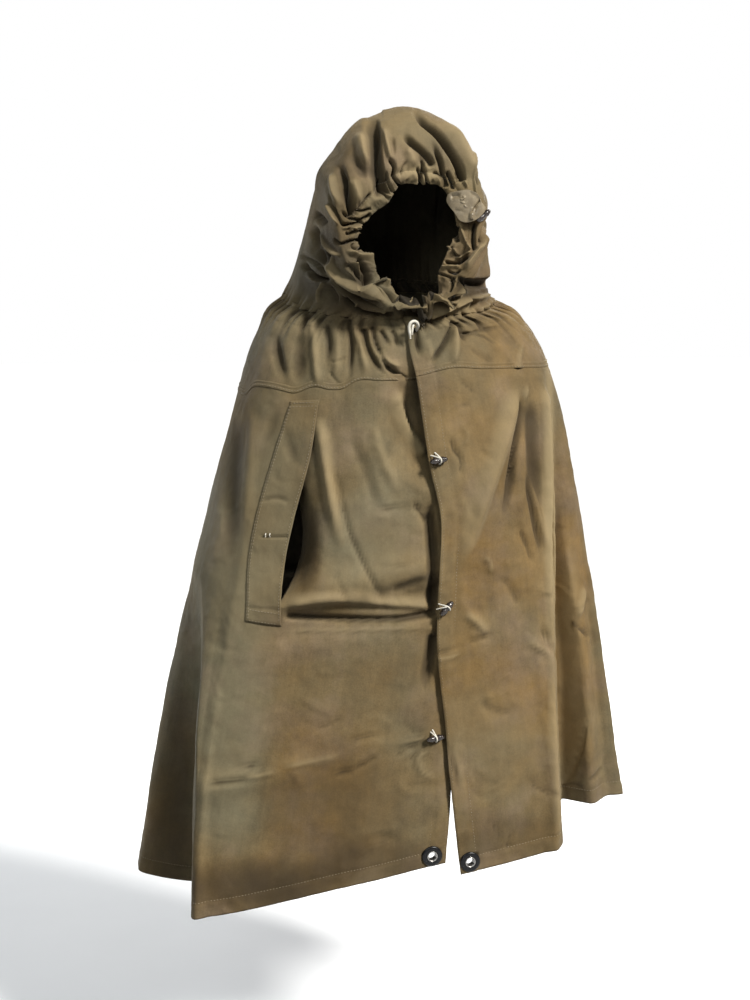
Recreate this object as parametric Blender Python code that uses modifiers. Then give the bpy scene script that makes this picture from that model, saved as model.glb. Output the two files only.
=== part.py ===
"""Hooded cape poncho: a square of canvas worn as a cape, gathered at the neck and round the face.

Units are metres and +Z is up. The origin is the middle of the neck drawcord line, where the cape sits on
the shoulders. The front faces -Y and the wearer's left is +X.

Two ways of naming a place on the cloth are used throughout:
  cape: turn, degrees round the body from centre front by the wearer's right, and drop, metres below the neck
  hood: around, degrees round the hood from its top by the wearer's left, and reach, 0 at the face to 1 at the neck
"""

import math
from collections import namedtuple

import bmesh
import bpy
import numpy as np
from mathutils import Matrix, Vector

# Driving sizes
CLOTH_WALL = 0.002
SEAM_GAP = 0.0003
NECK_CASING_DROP = 0.018
YOKE_DROP = 0.131
HEM_DROP = 0.965
FACE_CASING_REACH = 0.065
NECK_GATHERS = 48
FACE_GATHERS = 32

# Sampling of the cloth
COLUMNS = 2 * NECK_GATHERS
HOOD_REACHES = (0.0, 0.06, 0.14, 0.23, 0.33, 0.44, 0.55, 0.66, 0.77, 0.88, 1.0)
FACE_CASING_REACHES = (0.0, 0.5, 1.0)
YOKE_STEPS = (0.0, 0.03, 0.19, 0.42, 0.68, 0.95, 1.0)
LOWER_DROPS = (0.131, 0.138, 0.160, 0.225, 0.300, 0.375, 0.435, 0.470, 0.503, 0.550, 0.640, 0.745, 0.855, 0.965)

# Level sections of the cape, from the neck line to the hem. shift is to the wearer's left
CapeSection = namedtuple("CapeSection", "drop half_width shift front back squareness side_slope front_dip")
CAPE_SECTIONS = (
    CapeSection(0.000, 0.183, 0.000, 0.136, 0.136, 2.00, 0.000, 0.033),
    CapeSection(0.012, 0.207, 0.004, 0.141, 0.142, 2.00, 0.012, 0.030),
    CapeSection(0.048, 0.239, 0.010, 0.151, 0.154, 2.05, 0.035, 0.021),
    CapeSection(0.090, 0.260, 0.012, 0.161, 0.163, 2.10, 0.056, 0.012),
    CapeSection(0.131, 0.273, 0.012, 0.169, 0.168, 2.15, 0.074, 0.005),
    CapeSection(0.190, 0.291, 0.012, 0.177, 0.173, 2.20, 0.085, 0.000),
    CapeSection(0.280, 0.314, 0.009, 0.185, 0.177, 2.25, 0.100, 0.000),
    CapeSection(0.450, 0.352, 0.002, 0.193, 0.182, 2.35, 0.122, 0.000),
    CapeSection(0.630, 0.389, -0.003, 0.199, 0.187, 2.45, 0.132, 0.000),
    CapeSection(0.800, 0.419, -0.006, 0.204, 0.193, 2.50, 0.140, 0.000),
    CapeSection(0.965, 0.446, -0.006, 0.208, 0.198, 2.50, 0.146, 0.000),
)

# Where the two front edges lie, in degrees of turn: the right one runs on under the left one
FrontEdges = namedtuple("FrontEdges", "drop right left")
FRONT_EDGES = (
    FrontEdges(0.000, -8.0, 361.5),
    FrontEdges(0.050, -9.0, 362.2),
    FrontEdges(0.160, -10.0, 359.8),
    FrontEdges(0.260, -11.0, 356.8),
    FrontEdges(0.360, -12.5, 353.0),
    FrontEdges(0.450, -13.0, 353.3),
    FrontEdges(0.560, -12.5, 353.8),
    FrontEdges(0.700, -11.0, 351.8),
    FrontEdges(0.830, -9.8, 350.4),
    FrontEdges(0.965, -8.0, 348.9),
)

# Flutes run down the cape and deepen to the hem: heights are out of the section, widths each side in degrees
Flute = namedtuple("Flute", "turn top_shift before after height start crisp")
FLUTES = (
    Flute(47.0, 4.5, 21.0, 5.5, 0.018, 0.33, 0.9),
    Flute(73.0, 7.0, 27.5, 27.5, -0.121, 0.425, 0.1),
    Flute(112.0, -4.0, 12.0, 24.0, 0.012, 0.24, 0.4),
    Flute(149.0, -2.0, 16.0, 16.0, -0.046, 0.24, 0.1),
    Flute(172.0, 2.0, 13.0, 15.0, 0.022, 0.20, 0.3),
    Flute(201.0, 0.0, 17.0, 15.0, -0.044, 0.22, 0.1),
    Flute(229.0, 3.0, 14.0, 17.0, 0.026, 0.22, 0.3),
    Flute(257.0, 2.0, 14.0, 14.0, -0.050, 0.26, 0.1),
    Flute(288.0, 2.0, 8.0, 6.0, 0.014, 0.30, 0.8),
    Flute(302.0, 2.5, 21.0, 25.0, -0.116, 0.148, 0.2),
    Flute(327.0, 1.5, 5.5, 21.0, 0.016, 0.11, 0.8),
)

# Cross folds run round the cape
CrossFold = namedtuple("CrossFold", "turn_from turn_to drop_from drop_to width height")
CROSS_FOLDS = (
    CrossFold(-34.0, 46.0, 0.484, 0.512, 0.045, -0.014),
    CrossFold(-34.0, 46.0, 0.440, 0.450, 0.040, 0.008),
    CrossFold(20.0, 58.0, 0.745, 0.755, 0.034, 0.006),
)

# How far the hem is lifted round the cape
HemRise = namedtuple("HemRise", "turn rise")
HEM_RISES = (
    HemRise(-14.0, 0.014),
    HemRise(10.0, 0.011),
    HemRise(46.0, -0.004),
    HemRise(100.0, 0.018),
    HemRise(150.0, 0.004),
    HemRise(230.0, 0.000),
    HemRise(285.0, -0.007),
    HemRise(326.0, -0.008),
    HemRise(361.0, -0.010),
)

# The left front lies on the right one, which hangs away from it below the seam
LAP_LIFT = 0.009
LAP_FROM_TURN = 318.0
UNDER_SAG = 0.026
UNDER_SAG_DROPS = (0.10, 0.19, 0.32)
UNDER_SAG_TURN = 14.0

# Arm slit on the wearer's right front, and the cloth before it that is pushed in and pulled open
SLIT_COLUMN = 13
SLIT_FIRST_ROW = 2
SLIT_LAST_ROW = 7
SLIT_DENT = 0.024
SLIT_DENT_TURNS = 28.0
SLIT_OPEN_TURNS = 3.0

# Arm flap over the slit: its free edge, its sewn edge and how far it stands off the panel
FlapSection = namedtuple("FlapSection", "drop free sewn")
FLAP_SECTIONS = (
    FlapSection(0.146, 33.6, 43.6),
    FlapSection(0.228, 33.2, 47.2),
    FlapSection(0.329, 35.2, 49.8),
    FlapSection(0.380, 35.8, 49.8),
    FlapSection(0.475, 34.8, 47.2),
    FlapSection(0.498, 34.4, 46.6),
)
FLAP_COLUMNS = 6
FLAP_ROWS = 14
FLAP_SEWN_LIFT = 0.0040
FLAP_FREE_LIFT = 0.0110

# Sections of the hood from face to neck: top follows the brow, crown and nape, chin the front of the throat
HoodSection = namedtuple("HoodSection", "reach top_y top_z chin_y chin_z half_width roundness")
HOOD_SECTIONS = (
    HoodSection(0.00, -0.128, 0.184, -0.146, -0.014, 0.088, 1.85),
    HoodSection(0.065, -0.137, 0.205, -0.160, -0.010, 0.102, 1.95),
    HoodSection(0.16, -0.128, 0.252, -0.171, -0.010, 0.117, 2.0),
    HoodSection(0.28, -0.090, 0.300, -0.175, -0.013, 0.129, 2.0),
    HoodSection(0.40, -0.026, 0.324, -0.174, -0.016, 0.137, 2.05),
    HoodSection(0.54, 0.052, 0.307, -0.168, -0.019, 0.143, 2.05),
    HoodSection(0.67, 0.104, 0.252, -0.160, -0.022, 0.149, 2.05),
    HoodSection(0.80, 0.130, 0.172, -0.151, -0.025, 0.156, 2.05),
    HoodSection(0.91, 0.137, 0.092, -0.144, -0.028, 0.168, 2.0),
    HoodSection(1.00, 0.136, 0.0336, -0.136, -0.0324, 0.183, 2.0),
)
HOOD_LEAN = 0.07

# Folds of the hood, each a ridge or a trough between two places on it
HoodFold = namedtuple("HoodFold", "around_from reach_from around_to reach_to width height")
HOOD_FOLDS = (
    HoodFold(-22.0, 0.07, -10.0, 0.40, 0.016, -0.017),
    HoodFold(-8.0, 0.07, 2.0, 0.36, 0.022, 0.008),
    HoodFold(30.0, 0.08, 16.0, 0.34, 0.016, -0.011),
    HoodFold(48.0, 0.07, 34.0, 0.46, 0.018, -0.020),
    HoodFold(62.0, 0.08, 50.0, 0.46, 0.018, 0.004),
    HoodFold(-52.0, 0.07, -40.0, 0.36, 0.016, -0.015),
    HoodFold(-74.0, 0.08, -56.0, 0.38, 0.018, -0.014),
    HoodFold(-96.0, 0.10, -118.0, 0.72, 0.022, -0.012),
    HoodFold(-100.0, 0.32, -176.0, 0.34, 0.022, 0.014),
    HoodFold(-106.0, 0.66, -172.0, 0.62, 0.020, -0.012),
    HoodFold(98.0, 0.24, 166.0, 0.30, 0.020, 0.012),
    HoodFold(92.0, 0.62, 160.0, 0.60, 0.024, -0.014),
    HoodFold(88.0, 0.62, 98.0, 0.97, 0.036, 0.018),
    HoodFold(-82.0, 0.26, -68.0, 0.60, 0.030, 0.010),
    HoodFold(12.0, 0.55, 30.0, 0.95, 0.030, -0.010),
    HoodFold(-30.0, 0.60, -18.0, 0.95, 0.030, -0.010),
)
HOOD_FOLD_RADIUS = 0.14
HOOD_FOLD_LENGTH = 0.50

# Depth of the gathers and how soon they die away from the drawcords
NECK_GATHER_DEPTH = 0.0055
YOKE_GATHER_DROP = 0.085
HOOD_NECK_GATHER_REACH = 0.16
FACE_GATHER_DEPTH = 0.0060
FACE_GATHER_REACH = 0.22
FACE_CASING_PUFF = 0.0045

# Toggles and their loops
TOGGLE_LENGTH = 0.030
TOGGLE_RADIUS = 0.0055
TOGGLE_END_RADIUS = 0.0030
TOGGLE_WAIST_RADIUS = 0.0042
LOOP_CORD_RADIUS = 0.0013
LOOP_RADIUS = TOGGLE_WAIST_RADIUS + LOOP_CORD_RADIUS + SEAM_GAP
TOGGLE_STAND_OFF = LOOP_RADIUS + LOOP_CORD_RADIUS + SEAM_GAP
TogglePlace = namedtuple("TogglePlace", "name turn drop tilt")
TOGGLES = (
    TogglePlace("top", 354.1, 0.262, 4.0),
    TogglePlace("middle", 351.6, 0.506, 40.0),
    TogglePlace("bottom", -5.9, 0.7355, 0.0),
)

# Eyelets in the front corners of the hem
EYELET_RADIUS = 0.0175
EYELET_HOLE_RADIUS = 0.0080
EYELET_BARREL_RADIUS = 0.0100
EYELET_FLANGE = 0.0014
EYELET_GRIP = 0.0040
EYELET_CUT_RADIUS = EYELET_BARREL_RADIUS + 0.0006
EyeletPlace = namedtuple("EyeletPlace", "name turn drop")
EYELETS = (
    EyeletPlace("right", -5.05, 0.946),
    EyeletPlace("left", 346.8, 0.946),
)

# Leather tab on the rim of the hood
TAB_WIDTH = 0.050
TAB_HEIGHT = 0.066
TAB_THICKNESS = 0.0024
TAB_BEND_RADIUS = 0.034
TAB_AROUND = 62.0
TAB_REACH = 0.075
TAB_LIFT = 0.021

# Toggle that sits behind the tab
HOOD_TOGGLE_AROUND = 83.0
HOOD_TOGGLE_REACH = 0.15
HOOD_TOGGLE_LIFT = 0.0085
HOOD_TOGGLE_TILT = -53.0

# White neck drawcord at the front opening
DRAWCORD_RADIUS = 0.0028
KNOT_RADIUS = 0.0065
DRAWCORD_TURN = -0.9
DRAWCORD_DROP = 0.010
DRAWCORD_STAND_OFF = 0.0230
DRAWCORD_POINTS = (
    (0.0000, 0.0000, -0.0070),
    (-0.0003, -0.0009, -0.0100),
    (-0.0012, -0.0016, -0.0130),
    (-0.0022, -0.0018, -0.0160),
    (-0.0030, -0.0014, -0.0190),
    (-0.0034, -0.0008, -0.0215),
    (-0.0036, -0.0002, -0.0240),
)

# Finishes: colour, roughness and metallic value
CANVAS = ("olive canvas", (0.205, 0.165, 0.092), 0.92, 0.0)
LEATHER = ("grey-tan leather", (0.300, 0.245, 0.160), 0.62, 0.0)
TOGGLE_WOOD = ("dark stained wood", (0.020, 0.014, 0.011), 0.45, 0.0)
COTTON = ("white cotton cord", (0.640, 0.600, 0.520), 0.90, 0.0)
EYELET_METAL = ("black painted metal", (0.010, 0.010, 0.010), 0.35, 0.6)


def eased(share):
    """A smooth step from 0 to 1, held at both ends."""
    share = np.clip(share, 0.0, 1.0)
    return share * share * (3.0 - 2.0 * share)


def read(table, at, column):
    """A column of a table at values of its first column, on a smooth curve through the rows."""
    at = np.asarray(at, float)
    keys = np.array([row[0] for row in table])
    values = np.array([getattr(row, column) for row in table])
    slopes = np.gradient(values, keys)
    low = np.clip(np.searchsorted(keys, at) - 1, 0, len(keys) - 2)
    span = keys[low + 1] - keys[low]
    t = (at - keys[low]) / span
    rise = values[low + 1] - values[low]
    from_low = slopes[low] * span - rise
    from_high = rise - slopes[low + 1] * span
    return values[low] + rise * t + t * (1 - t) * (from_low * (1 - t) + from_high * t)


def wrapped(degrees):
    """An angle brought between -180 and 180 degrees."""
    return (np.asarray(degrees, float) + 180.0) % 360.0 - 180.0


def unit(vectors):
    """Vectors along the last axis, made one long."""
    return vectors / np.linalg.norm(vectors, axis=-1, keepdims=True)


def level(vectors):
    """Directions turned level, one long."""
    return unit(vectors * np.array([1.0, 1.0, 0.0]))


def outward(surface, first, second, first_step, second_step):
    """The outward normal of a surface of two parameters, from small steps each way."""
    along = surface(first + first_step, second) - surface(first - first_step, second)
    down = surface(first, second + second_step) - surface(first, second - second_step)
    return unit(np.cross(along, down))


def cape_section_point(turn, drop):
    """A point of the cape before folds and gathers."""
    turn, drop = np.broadcast_arrays(np.asarray(turn, float), np.asarray(drop, float))
    cosine = np.cos(np.radians(turn))
    sine = np.sin(np.radians(turn))
    square = read(CAPE_SECTIONS, drop, "squareness")
    corner = (np.abs(cosine) ** square + np.abs(sine) ** square) ** (-1.0 / square)
    depth = np.where(cosine > 0, read(CAPE_SECTIONS, drop, "front"), read(CAPE_SECTIONS, drop, "back"))
    x = read(CAPE_SECTIONS, drop, "shift") - read(CAPE_SECTIONS, drop, "half_width") * sine * corner
    y = -depth * cosine * corner
    z = -drop + read(CAPE_SECTIONS, drop, "side_slope") * x - read(CAPE_SECTIONS, drop, "front_dip") * cosine
    return np.stack((x, y, z), axis=-1)


def flute_relief(turn, drop):
    """How far the flutes stand out of the cape's sections."""
    relief = np.zeros(np.shape(turn))
    for flute in FLUTES:
        grown = np.clip((drop - flute.start) / (HEM_DROP - flute.start), 0.0, 1.0)
        away = wrapped(turn - flute.turn - flute.top_shift * (1.0 - grown))
        near = 1.0 - np.clip(np.abs(away) / np.where(away < 0, flute.before, flute.after), 0.0, 1.0)
        shape = (1.0 - flute.crisp) * eased(near) + flute.crisp * near**1.5
        relief = relief + flute.height * grown**0.85 * shape
    return relief


def cross_fold_relief(turn, drop):
    """How far the folds that run round the cape stand out of it."""
    relief = np.zeros(np.shape(turn))
    for fold in CROSS_FOLDS:
        along = (turn - fold.turn_from) / (fold.turn_to - fold.turn_from)
        middle = fold.drop_from + np.clip(along, 0.0, 1.0) * (fold.drop_to - fold.drop_from)
        near = 1.0 - np.abs(drop - middle) / fold.width
        relief = relief + fold.height * eased(near) * eased(4.0 * along) * eased(4.0 * (1.0 - along))
    return relief


def lap_relief(turn, drop):
    """The left front's lift over the right one, and the right one's sag behind it."""
    lift = LAP_LIFT * eased((turn - LAP_FROM_TURN) / (350.0 - LAP_FROM_TURN))
    high, deepest, low = UNDER_SAG_DROPS
    sag_down = np.where(drop < deepest, eased((drop - high) / (deepest - high)), eased((low - drop) / (low - deepest)))
    sag_round = eased((UNDER_SAG_TURN - turn) / UNDER_SAG_TURN)
    return lift - UNDER_SAG * sag_down * sag_round


def neck_gather(share, drop):
    """The gathers that hang from the neck drawcord, one ridge and one trough a pair of columns."""
    uneven = 1.0 + 0.30 * np.sin(math.tau * 5 * share + 0.7) + 0.22 * np.sin(math.tau * 13 * share + 2.1)
    fading = np.exp(-drop / (0.45 * YOKE_GATHER_DROP)) * eased(2.0 * (1.0 - drop / YOKE_DROP))
    return NECK_GATHER_DEPTH * uneven * fading * np.cos(math.pi * COLUMNS * share)


def cape_point(turn, drop, lift=0.0, share=None):
    """A point of the worn cape, moved out of its cloth by lift. share adds the neck gathers."""
    turn, drop = np.broadcast_arrays(np.asarray(turn, float), np.asarray(drop, float))
    relief = flute_relief(turn, drop) + cross_fold_relief(turn, drop) + lap_relief(turn, drop) + lift
    if share is not None:
        relief = relief + neck_gather(share, drop)
    point = cape_section_point(turn, drop)
    point = point + level(outward(cape_section_point, turn, drop, 0.5, 0.002)) * relief[..., None]
    point[..., 2] += read(HEM_RISES, turn, "rise") * (drop / HEM_DROP) ** 2
    return point


def cape_turn(share, drop):
    """The turn of a place that is a share of the way from the right front edge to the left one."""
    right = read(FRONT_EDGES, drop, "right")
    return right + share * (read(FRONT_EDGES, drop, "left") - right)


def cape_grid(drops):
    """Points of the cape on all its columns, a row for each drop."""
    share, drop = np.meshgrid(np.linspace(0.0, 1.0, COLUMNS + 1), np.asarray(drops))
    return cape_point(cape_turn(share, drop), drop, share=share)


def hood_section_point(around, reach):
    """A point of the hood before folds and gathers."""
    around, reach = np.broadcast_arrays(np.asarray(around, float), np.asarray(reach, float))
    cosine = np.cos(np.radians(around))
    sine = np.sin(np.radians(around))
    rounded = read(HOOD_SECTIONS, reach, "roundness")
    corner = (np.abs(cosine) ** rounded + np.abs(sine) ** rounded) ** (-1.0 / rounded)
    toward_top = 0.5 * (1.0 + cosine * corner)
    y = read(HOOD_SECTIONS, reach, "chin_y")
    z = read(HOOD_SECTIONS, reach, "chin_z")
    y = y + toward_top * (read(HOOD_SECTIONS, reach, "top_y") - y)
    z = z + toward_top * (read(HOOD_SECTIONS, reach, "top_z") - z)
    x = HOOD_LEAN * z * (1.0 - reach**4) + read(HOOD_SECTIONS, reach, "half_width") * sine * corner
    return np.stack((x, y, z), axis=-1)


def hood_fold_relief(around, reach):
    """How far the hood's folds stand out of its sections."""
    relief = np.zeros(np.shape(around))
    per_degree = HOOD_FOLD_RADIUS * math.pi / 180.0
    for fold in HOOD_FOLDS:
        run = np.array([(fold.around_to - fold.around_from) * per_degree,
                        (fold.reach_to - fold.reach_from) * HOOD_FOLD_LENGTH])
        off_round = wrapped(around - fold.around_from - 180.0) + 180.0
        off_round = np.where(off_round > 180.0, off_round - 360.0, off_round) * per_degree
        off_back = (reach - fold.reach_from) * HOOD_FOLD_LENGTH
        along = np.clip((off_round * run[0] + off_back * run[1]) / (run @ run), 0.0, 1.0)
        away = np.hypot(off_round - along * run[0], off_back - along * run[1])
        taper = eased(along * 5.0 + 0.5) * eased((1.0 - along) * 2.5)
        relief = relief + fold.height * taper * eased(1.0 - away / (1.6 * fold.width))
    return relief


def hood_gather(around, reach):
    """The hood's gathers, at the face and at the neck."""
    share = around / 360.0
    uneven = 1.0 + 0.30 * np.sin(math.tau * 3 * share + 1.1) + 0.25 * np.sin(math.tau * 7 * share + 0.3)
    at_face = FACE_GATHER_DEPTH * uneven * eased(1.0 - reach / FACE_GATHER_REACH) * np.cos(math.tau * FACE_GATHERS * share)
    at_neck = eased(1.0 - (1.0 - reach) / HOOD_NECK_GATHER_REACH) * np.cos(math.pi * COLUMNS * share)
    return at_face, NECK_GATHER_DEPTH * at_neck


def hood_point(around, reach, lift=0.0):
    """A point of the hood with its folds and gathers, moved out of its cloth by lift."""
    around, reach = np.broadcast_arrays(np.asarray(around, float), np.asarray(reach, float))
    at_face, at_neck = hood_gather(around, reach)
    relief = hood_fold_relief(around, reach) + at_face + lift
    normal = outward(hood_section_point, around, np.clip(reach, 0.004, 0.996), 0.5, 0.004)
    return hood_section_point(around, reach) + normal * relief[..., None] + level(normal) * at_neck[..., None]


def hood_grid(reaches, puff=0.0):
    """Points of the hood on all its columns, a row for each reach. puff swells the rows between the ends."""
    around, reach = np.meshgrid(np.arange(COLUMNS) * 360.0 / COLUMNS, np.asarray(reaches))
    across = (reach - reach.min()) / (reach.max() - reach.min())
    return hood_point(around, reach, puff * np.sin(math.pi * across))


def finish(name, colour, roughness, metallic):
    """A material of one colour, made once and shared."""
    material = bpy.data.materials.get(name)
    if material is None:
        material = bpy.data.materials.new(name)
        material.use_nodes = True
        shader = material.node_tree.nodes["Principled BSDF"]
        shader.inputs["Base Color"].default_value = (*colour, 1.0)
        shader.inputs["Roughness"].default_value = roughness
        shader.inputs["Metallic"].default_value = metallic
    return material


def add_object(name, mesh, look, collection):
    """An object in the collection with its material."""
    obj = bpy.data.objects.new(name, mesh)
    collection.objects.link(obj)
    mesh.materials.append(finish(*look))
    return obj


def add_wall(name, grid, look, collection, ring=False, slit_edge=None, thickness=CLOTH_WALL):
    """A wall of cloth inward of a grid of points. ring joins the last column to the first.

    slit_edge maps rows of SLIT_COLUMN to the other edge of a slit there.
    """
    shaped = bmesh.new()
    rows, columns = grid.shape[:2]
    corners = [[shaped.verts.new(point) for point in row] for row in grid]
    other_edge = {row: shaped.verts.new(point) for row, point in (slit_edge or {}).items()}

    def corner(row, column, from_column):
        if column == SLIT_COLUMN and from_column < SLIT_COLUMN and row in other_edge:
            return other_edge[row]
        return corners[row][column % columns]

    for row in range(rows - 1):
        for column in range(columns if ring else columns - 1):
            shaped.faces.new((
                corner(row, column, column),
                corner(row, column + 1, column),
                corner(row + 1, column + 1, column),
                corner(row + 1, column, column),
            ))
    mesh = bpy.data.meshes.new(name)
    shaped.to_mesh(mesh)
    shaped.free()
    mesh.shade_smooth()
    obj = add_object(name, mesh, look, collection)
    wall = obj.modifiers.new("wall", "SOLIDIFY")
    wall.thickness = thickness
    wall.offset = -1.0
    return obj


def add_turned(name, profile, look, collection, steps):
    """A closed turned piece: a profile of radius and height, top to bottom, turned about Z."""
    mesh = bpy.data.meshes.new(name)
    mesh.from_pydata([(radius, 0.0, height) for radius, height in profile],
                     [(i, i + 1) for i in range(len(profile) - 1)], [])
    obj = add_object(name, mesh, look, collection)
    turn = obj.modifiers.new("turn", "SCREW")
    turn.steps = turn.render_steps = steps
    turn.use_merge_vertices = True
    turn.merge_threshold = 0.00005
    return obj


def surface_frame(surface, first, second, first_step, second_step, lift):
    """A place on a surface: a point lifted off it, the way along it and the way out of it."""
    point = Vector(surface(first, second, lift))
    along = Vector(surface(first + first_step, second, lift)) - Vector(surface(first - first_step, second, lift))
    down = Vector(surface(first, second + second_step, lift)) - Vector(surface(first, second - second_step, lift))
    return point, along.normalized(), along.cross(down).normalized()


def frame_matrix(point, x_axis, z_axis):
    """A matrix that puts a piece's X and Z along two directions, at a point."""
    z_axis = z_axis.normalized()
    y_axis = z_axis.cross(x_axis).normalized()
    rotation = Matrix((y_axis.cross(z_axis), y_axis, z_axis)).transposed()
    return Matrix.Translation(point) @ rotation.to_4x4()


def toggle_profile():
    """Half the outline of a toggle: rounded ends, a swelling each side and a waist for its loop."""
    half = TOGGLE_LENGTH / 2
    heights = (half, half * 0.97, half * 0.82, half * 0.45, half * 0.22, 0.0)
    radii = (0.0, TOGGLE_END_RADIUS * 0.7, TOGGLE_END_RADIUS * 1.25, TOGGLE_RADIUS, TOGGLE_RADIUS * 0.88,
             TOGGLE_WAIST_RADIUS)
    upper = list(zip(radii, heights))
    return upper + [(radius, -height) for radius, height in reversed(upper[:-1])]


def add_toggle(name, seat, tilt, collection):
    """A toggle lying at a seat on the cloth, turned by tilt from the way along it."""
    point, along, out = seat
    lengthwise = Matrix.Rotation(math.radians(tilt), 3, out) @ along
    toggle = add_turned(name, toggle_profile(), TOGGLE_WOOD, collection, 12)
    toggle.matrix_world = frame_matrix(point, out, lengthwise)
    return toggle


def add_looped_toggle(place, collection):
    """A toggle on the cape's front edge with the cord loop round its waist."""
    seat = surface_frame(cape_point, place.turn, place.drop, 1.0, 0.004, TOGGLE_STAND_OFF)
    toggle = add_toggle(f"toggle_{place.name}", seat, place.tilt, collection)
    bpy.ops.mesh.primitive_torus_add(major_segments=12, minor_segments=5,
                                     major_radius=LOOP_RADIUS, minor_radius=LOOP_CORD_RADIUS)
    loop = bpy.context.object
    loop.name = f"toggle_{place.name}_loop"
    loop.data.materials.append(finish(*COTTON))
    move_to(loop, collection)
    loop.matrix_world = toggle.matrix_world.copy()


def move_to(obj, collection):
    """Takes an object out of its collections and puts it in this one."""
    for old in list(obj.users_collection):
        old.objects.unlink(obj)
    collection.objects.link(obj)


def eyelet_profile():
    """The closed outline of an eyelet: an outer flange, a barrel through the cloth and an inner flange."""
    half = EYELET_GRIP / 2
    outer, inner = half + EYELET_FLANGE, -half - EYELET_FLANGE
    soft = EYELET_FLANGE * 0.5
    return [
        (EYELET_HOLE_RADIUS, 0.0), (EYELET_HOLE_RADIUS, outer - soft), (EYELET_HOLE_RADIUS + soft, outer),
        (EYELET_RADIUS - soft, outer), (EYELET_RADIUS, outer - soft), (EYELET_RADIUS, half),
        (EYELET_BARREL_RADIUS, half), (EYELET_BARREL_RADIUS, -half), (EYELET_RADIUS, -half),
        (EYELET_RADIUS, inner + soft), (EYELET_RADIUS - soft, inner), (EYELET_HOLE_RADIUS + soft, inner),
        (EYELET_HOLE_RADIUS, inner + soft), (EYELET_HOLE_RADIUS, 0.0),
    ]


def add_eyelet(place, lower_cape, collection, cutters):
    """An eyelet through a corner of the lower cape, and the hole it sits in."""
    point, along, out = surface_frame(cape_point, place.turn, place.drop, 1.5, 0.012, -CLOTH_WALL / 2)
    seat = frame_matrix(point, along, out)
    eyelet = add_turned(f"eyelet_{place.name}", eyelet_profile(), EYELET_METAL, collection, 14)
    eyelet.matrix_world = seat
    bpy.ops.mesh.primitive_cylinder_add(vertices=20, radius=EYELET_CUT_RADIUS, depth=0.03)
    cutter = bpy.context.object
    cutter.name = f"eyelet_{place.name}_cutter"
    cutter.matrix_world = seat
    cutter.hide_render = True
    cutter.display_type = "WIRE"
    move_to(cutter, cutters)
    hole = lower_cape.modifiers.new(f"eyelet {place.name}", "BOOLEAN")
    hole.operation = "DIFFERENCE"
    hole.object = cutter


def slit_front_edge():
    """The front edge of the arm slit: pulled forward and pushed in from the column it was cut on."""
    share = SLIT_COLUMN / COLUMNS
    return {row: slit_side_point(share, LOWER_DROPS[row]) for row in range(SLIT_FIRST_ROW + 1, SLIT_LAST_ROW)}


def slit_opening(drop):
    """How far open the arm slit is at a drop, from 0 at its ends to 1."""
    first, last = LOWER_DROPS[SLIT_FIRST_ROW], LOWER_DROPS[SLIT_LAST_ROW]
    return np.sin(math.pi * np.clip((drop - first) / (last - first), 0.0, 1.0)) ** 0.8


def slit_side_point(share, drop):
    """A point on the front side of the arm slit, where the cloth is dented in and drawn forward."""
    turn = cape_turn(share, drop)
    slit_turn = cape_turn(SLIT_COLUMN / COLUMNS, drop)
    near = eased(1.0 - (slit_turn - turn) / SLIT_DENT_TURNS) * slit_opening(drop)
    return cape_point(turn - SLIT_OPEN_TURNS * near, drop, -SLIT_DENT * near, share)


def lower_cape_grid():
    """Points of the lower cape, with the cloth before the arm slit dented in."""
    grid = cape_grid(LOWER_DROPS)
    for row, drop in enumerate(LOWER_DROPS):
        for column in range(SLIT_COLUMN):
            grid[row, column] = slit_side_point(column / COLUMNS, np.array(drop))
    return grid


def arm_flap_grid():
    """Points of the arm flap: the panel's own points, moved out, more so at the free edge."""
    first, last = FLAP_SECTIONS[0].drop, FLAP_SECTIONS[-1].drop
    across, drop = np.meshgrid(np.linspace(0.0, 1.0, FLAP_COLUMNS + 1), np.linspace(first, last, FLAP_ROWS + 1))
    free = read(FLAP_SECTIONS, drop, "free")
    turn = free + across * (read(FLAP_SECTIONS, drop, "sewn") - free)
    down = (drop - first) / (last - first)
    lift = FLAP_SEWN_LIFT + (FLAP_FREE_LIFT - FLAP_SEWN_LIFT) * (1.0 - across) ** 1.5 * np.sin(math.pi * down) ** 0.6
    return cape_point(turn, drop, lift)


def add_hood_tab(collection):
    """The leather tab at the hood's rim, a leaf bent over the casing."""
    point, _, out = surface_frame(hood_point, TAB_AROUND, TAB_REACH, 2.0, 0.02, TAB_LIFT)
    rings, spokes = 4, 20
    leaf = bmesh.new()
    middle = leaf.verts.new((0.0, 0.0, 0.0))
    circles = []
    for ring in range(1, rings + 1):
        circle = []
        for spoke in range(spokes):
            angle = math.tau * spoke / spokes
            across = TAB_WIDTH / 2 * math.cos(angle) * ring / rings
            upward = TAB_HEIGHT / 2 * math.sin(angle) * ring / rings
            sunk = (across**2 + 0.35 * upward**2) / (2 * TAB_BEND_RADIUS)
            circle.append(leaf.verts.new((across, upward, -sunk)))
        circles.append(circle)
    for spoke in range(spokes):
        following = (spoke + 1) % spokes
        leaf.faces.new((middle, circles[0][spoke], circles[0][following]))
        for inner, outer in zip(circles, circles[1:]):
            leaf.faces.new((inner[spoke], outer[spoke], outer[following], inner[following]))
    mesh = bpy.data.meshes.new("hood_tab")
    leaf.to_mesh(mesh)
    leaf.free()
    mesh.shade_smooth()
    tab = add_object("hood_tab", mesh, LEATHER, collection)
    wall = tab.modifiers.new("wall", "SOLIDIFY")
    wall.thickness = TAB_THICKNESS
    wall.offset = 1.0
    tab.matrix_world = frame_matrix(point, Vector((0.0, 0.0, 1.0)).cross(out), out)


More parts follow.
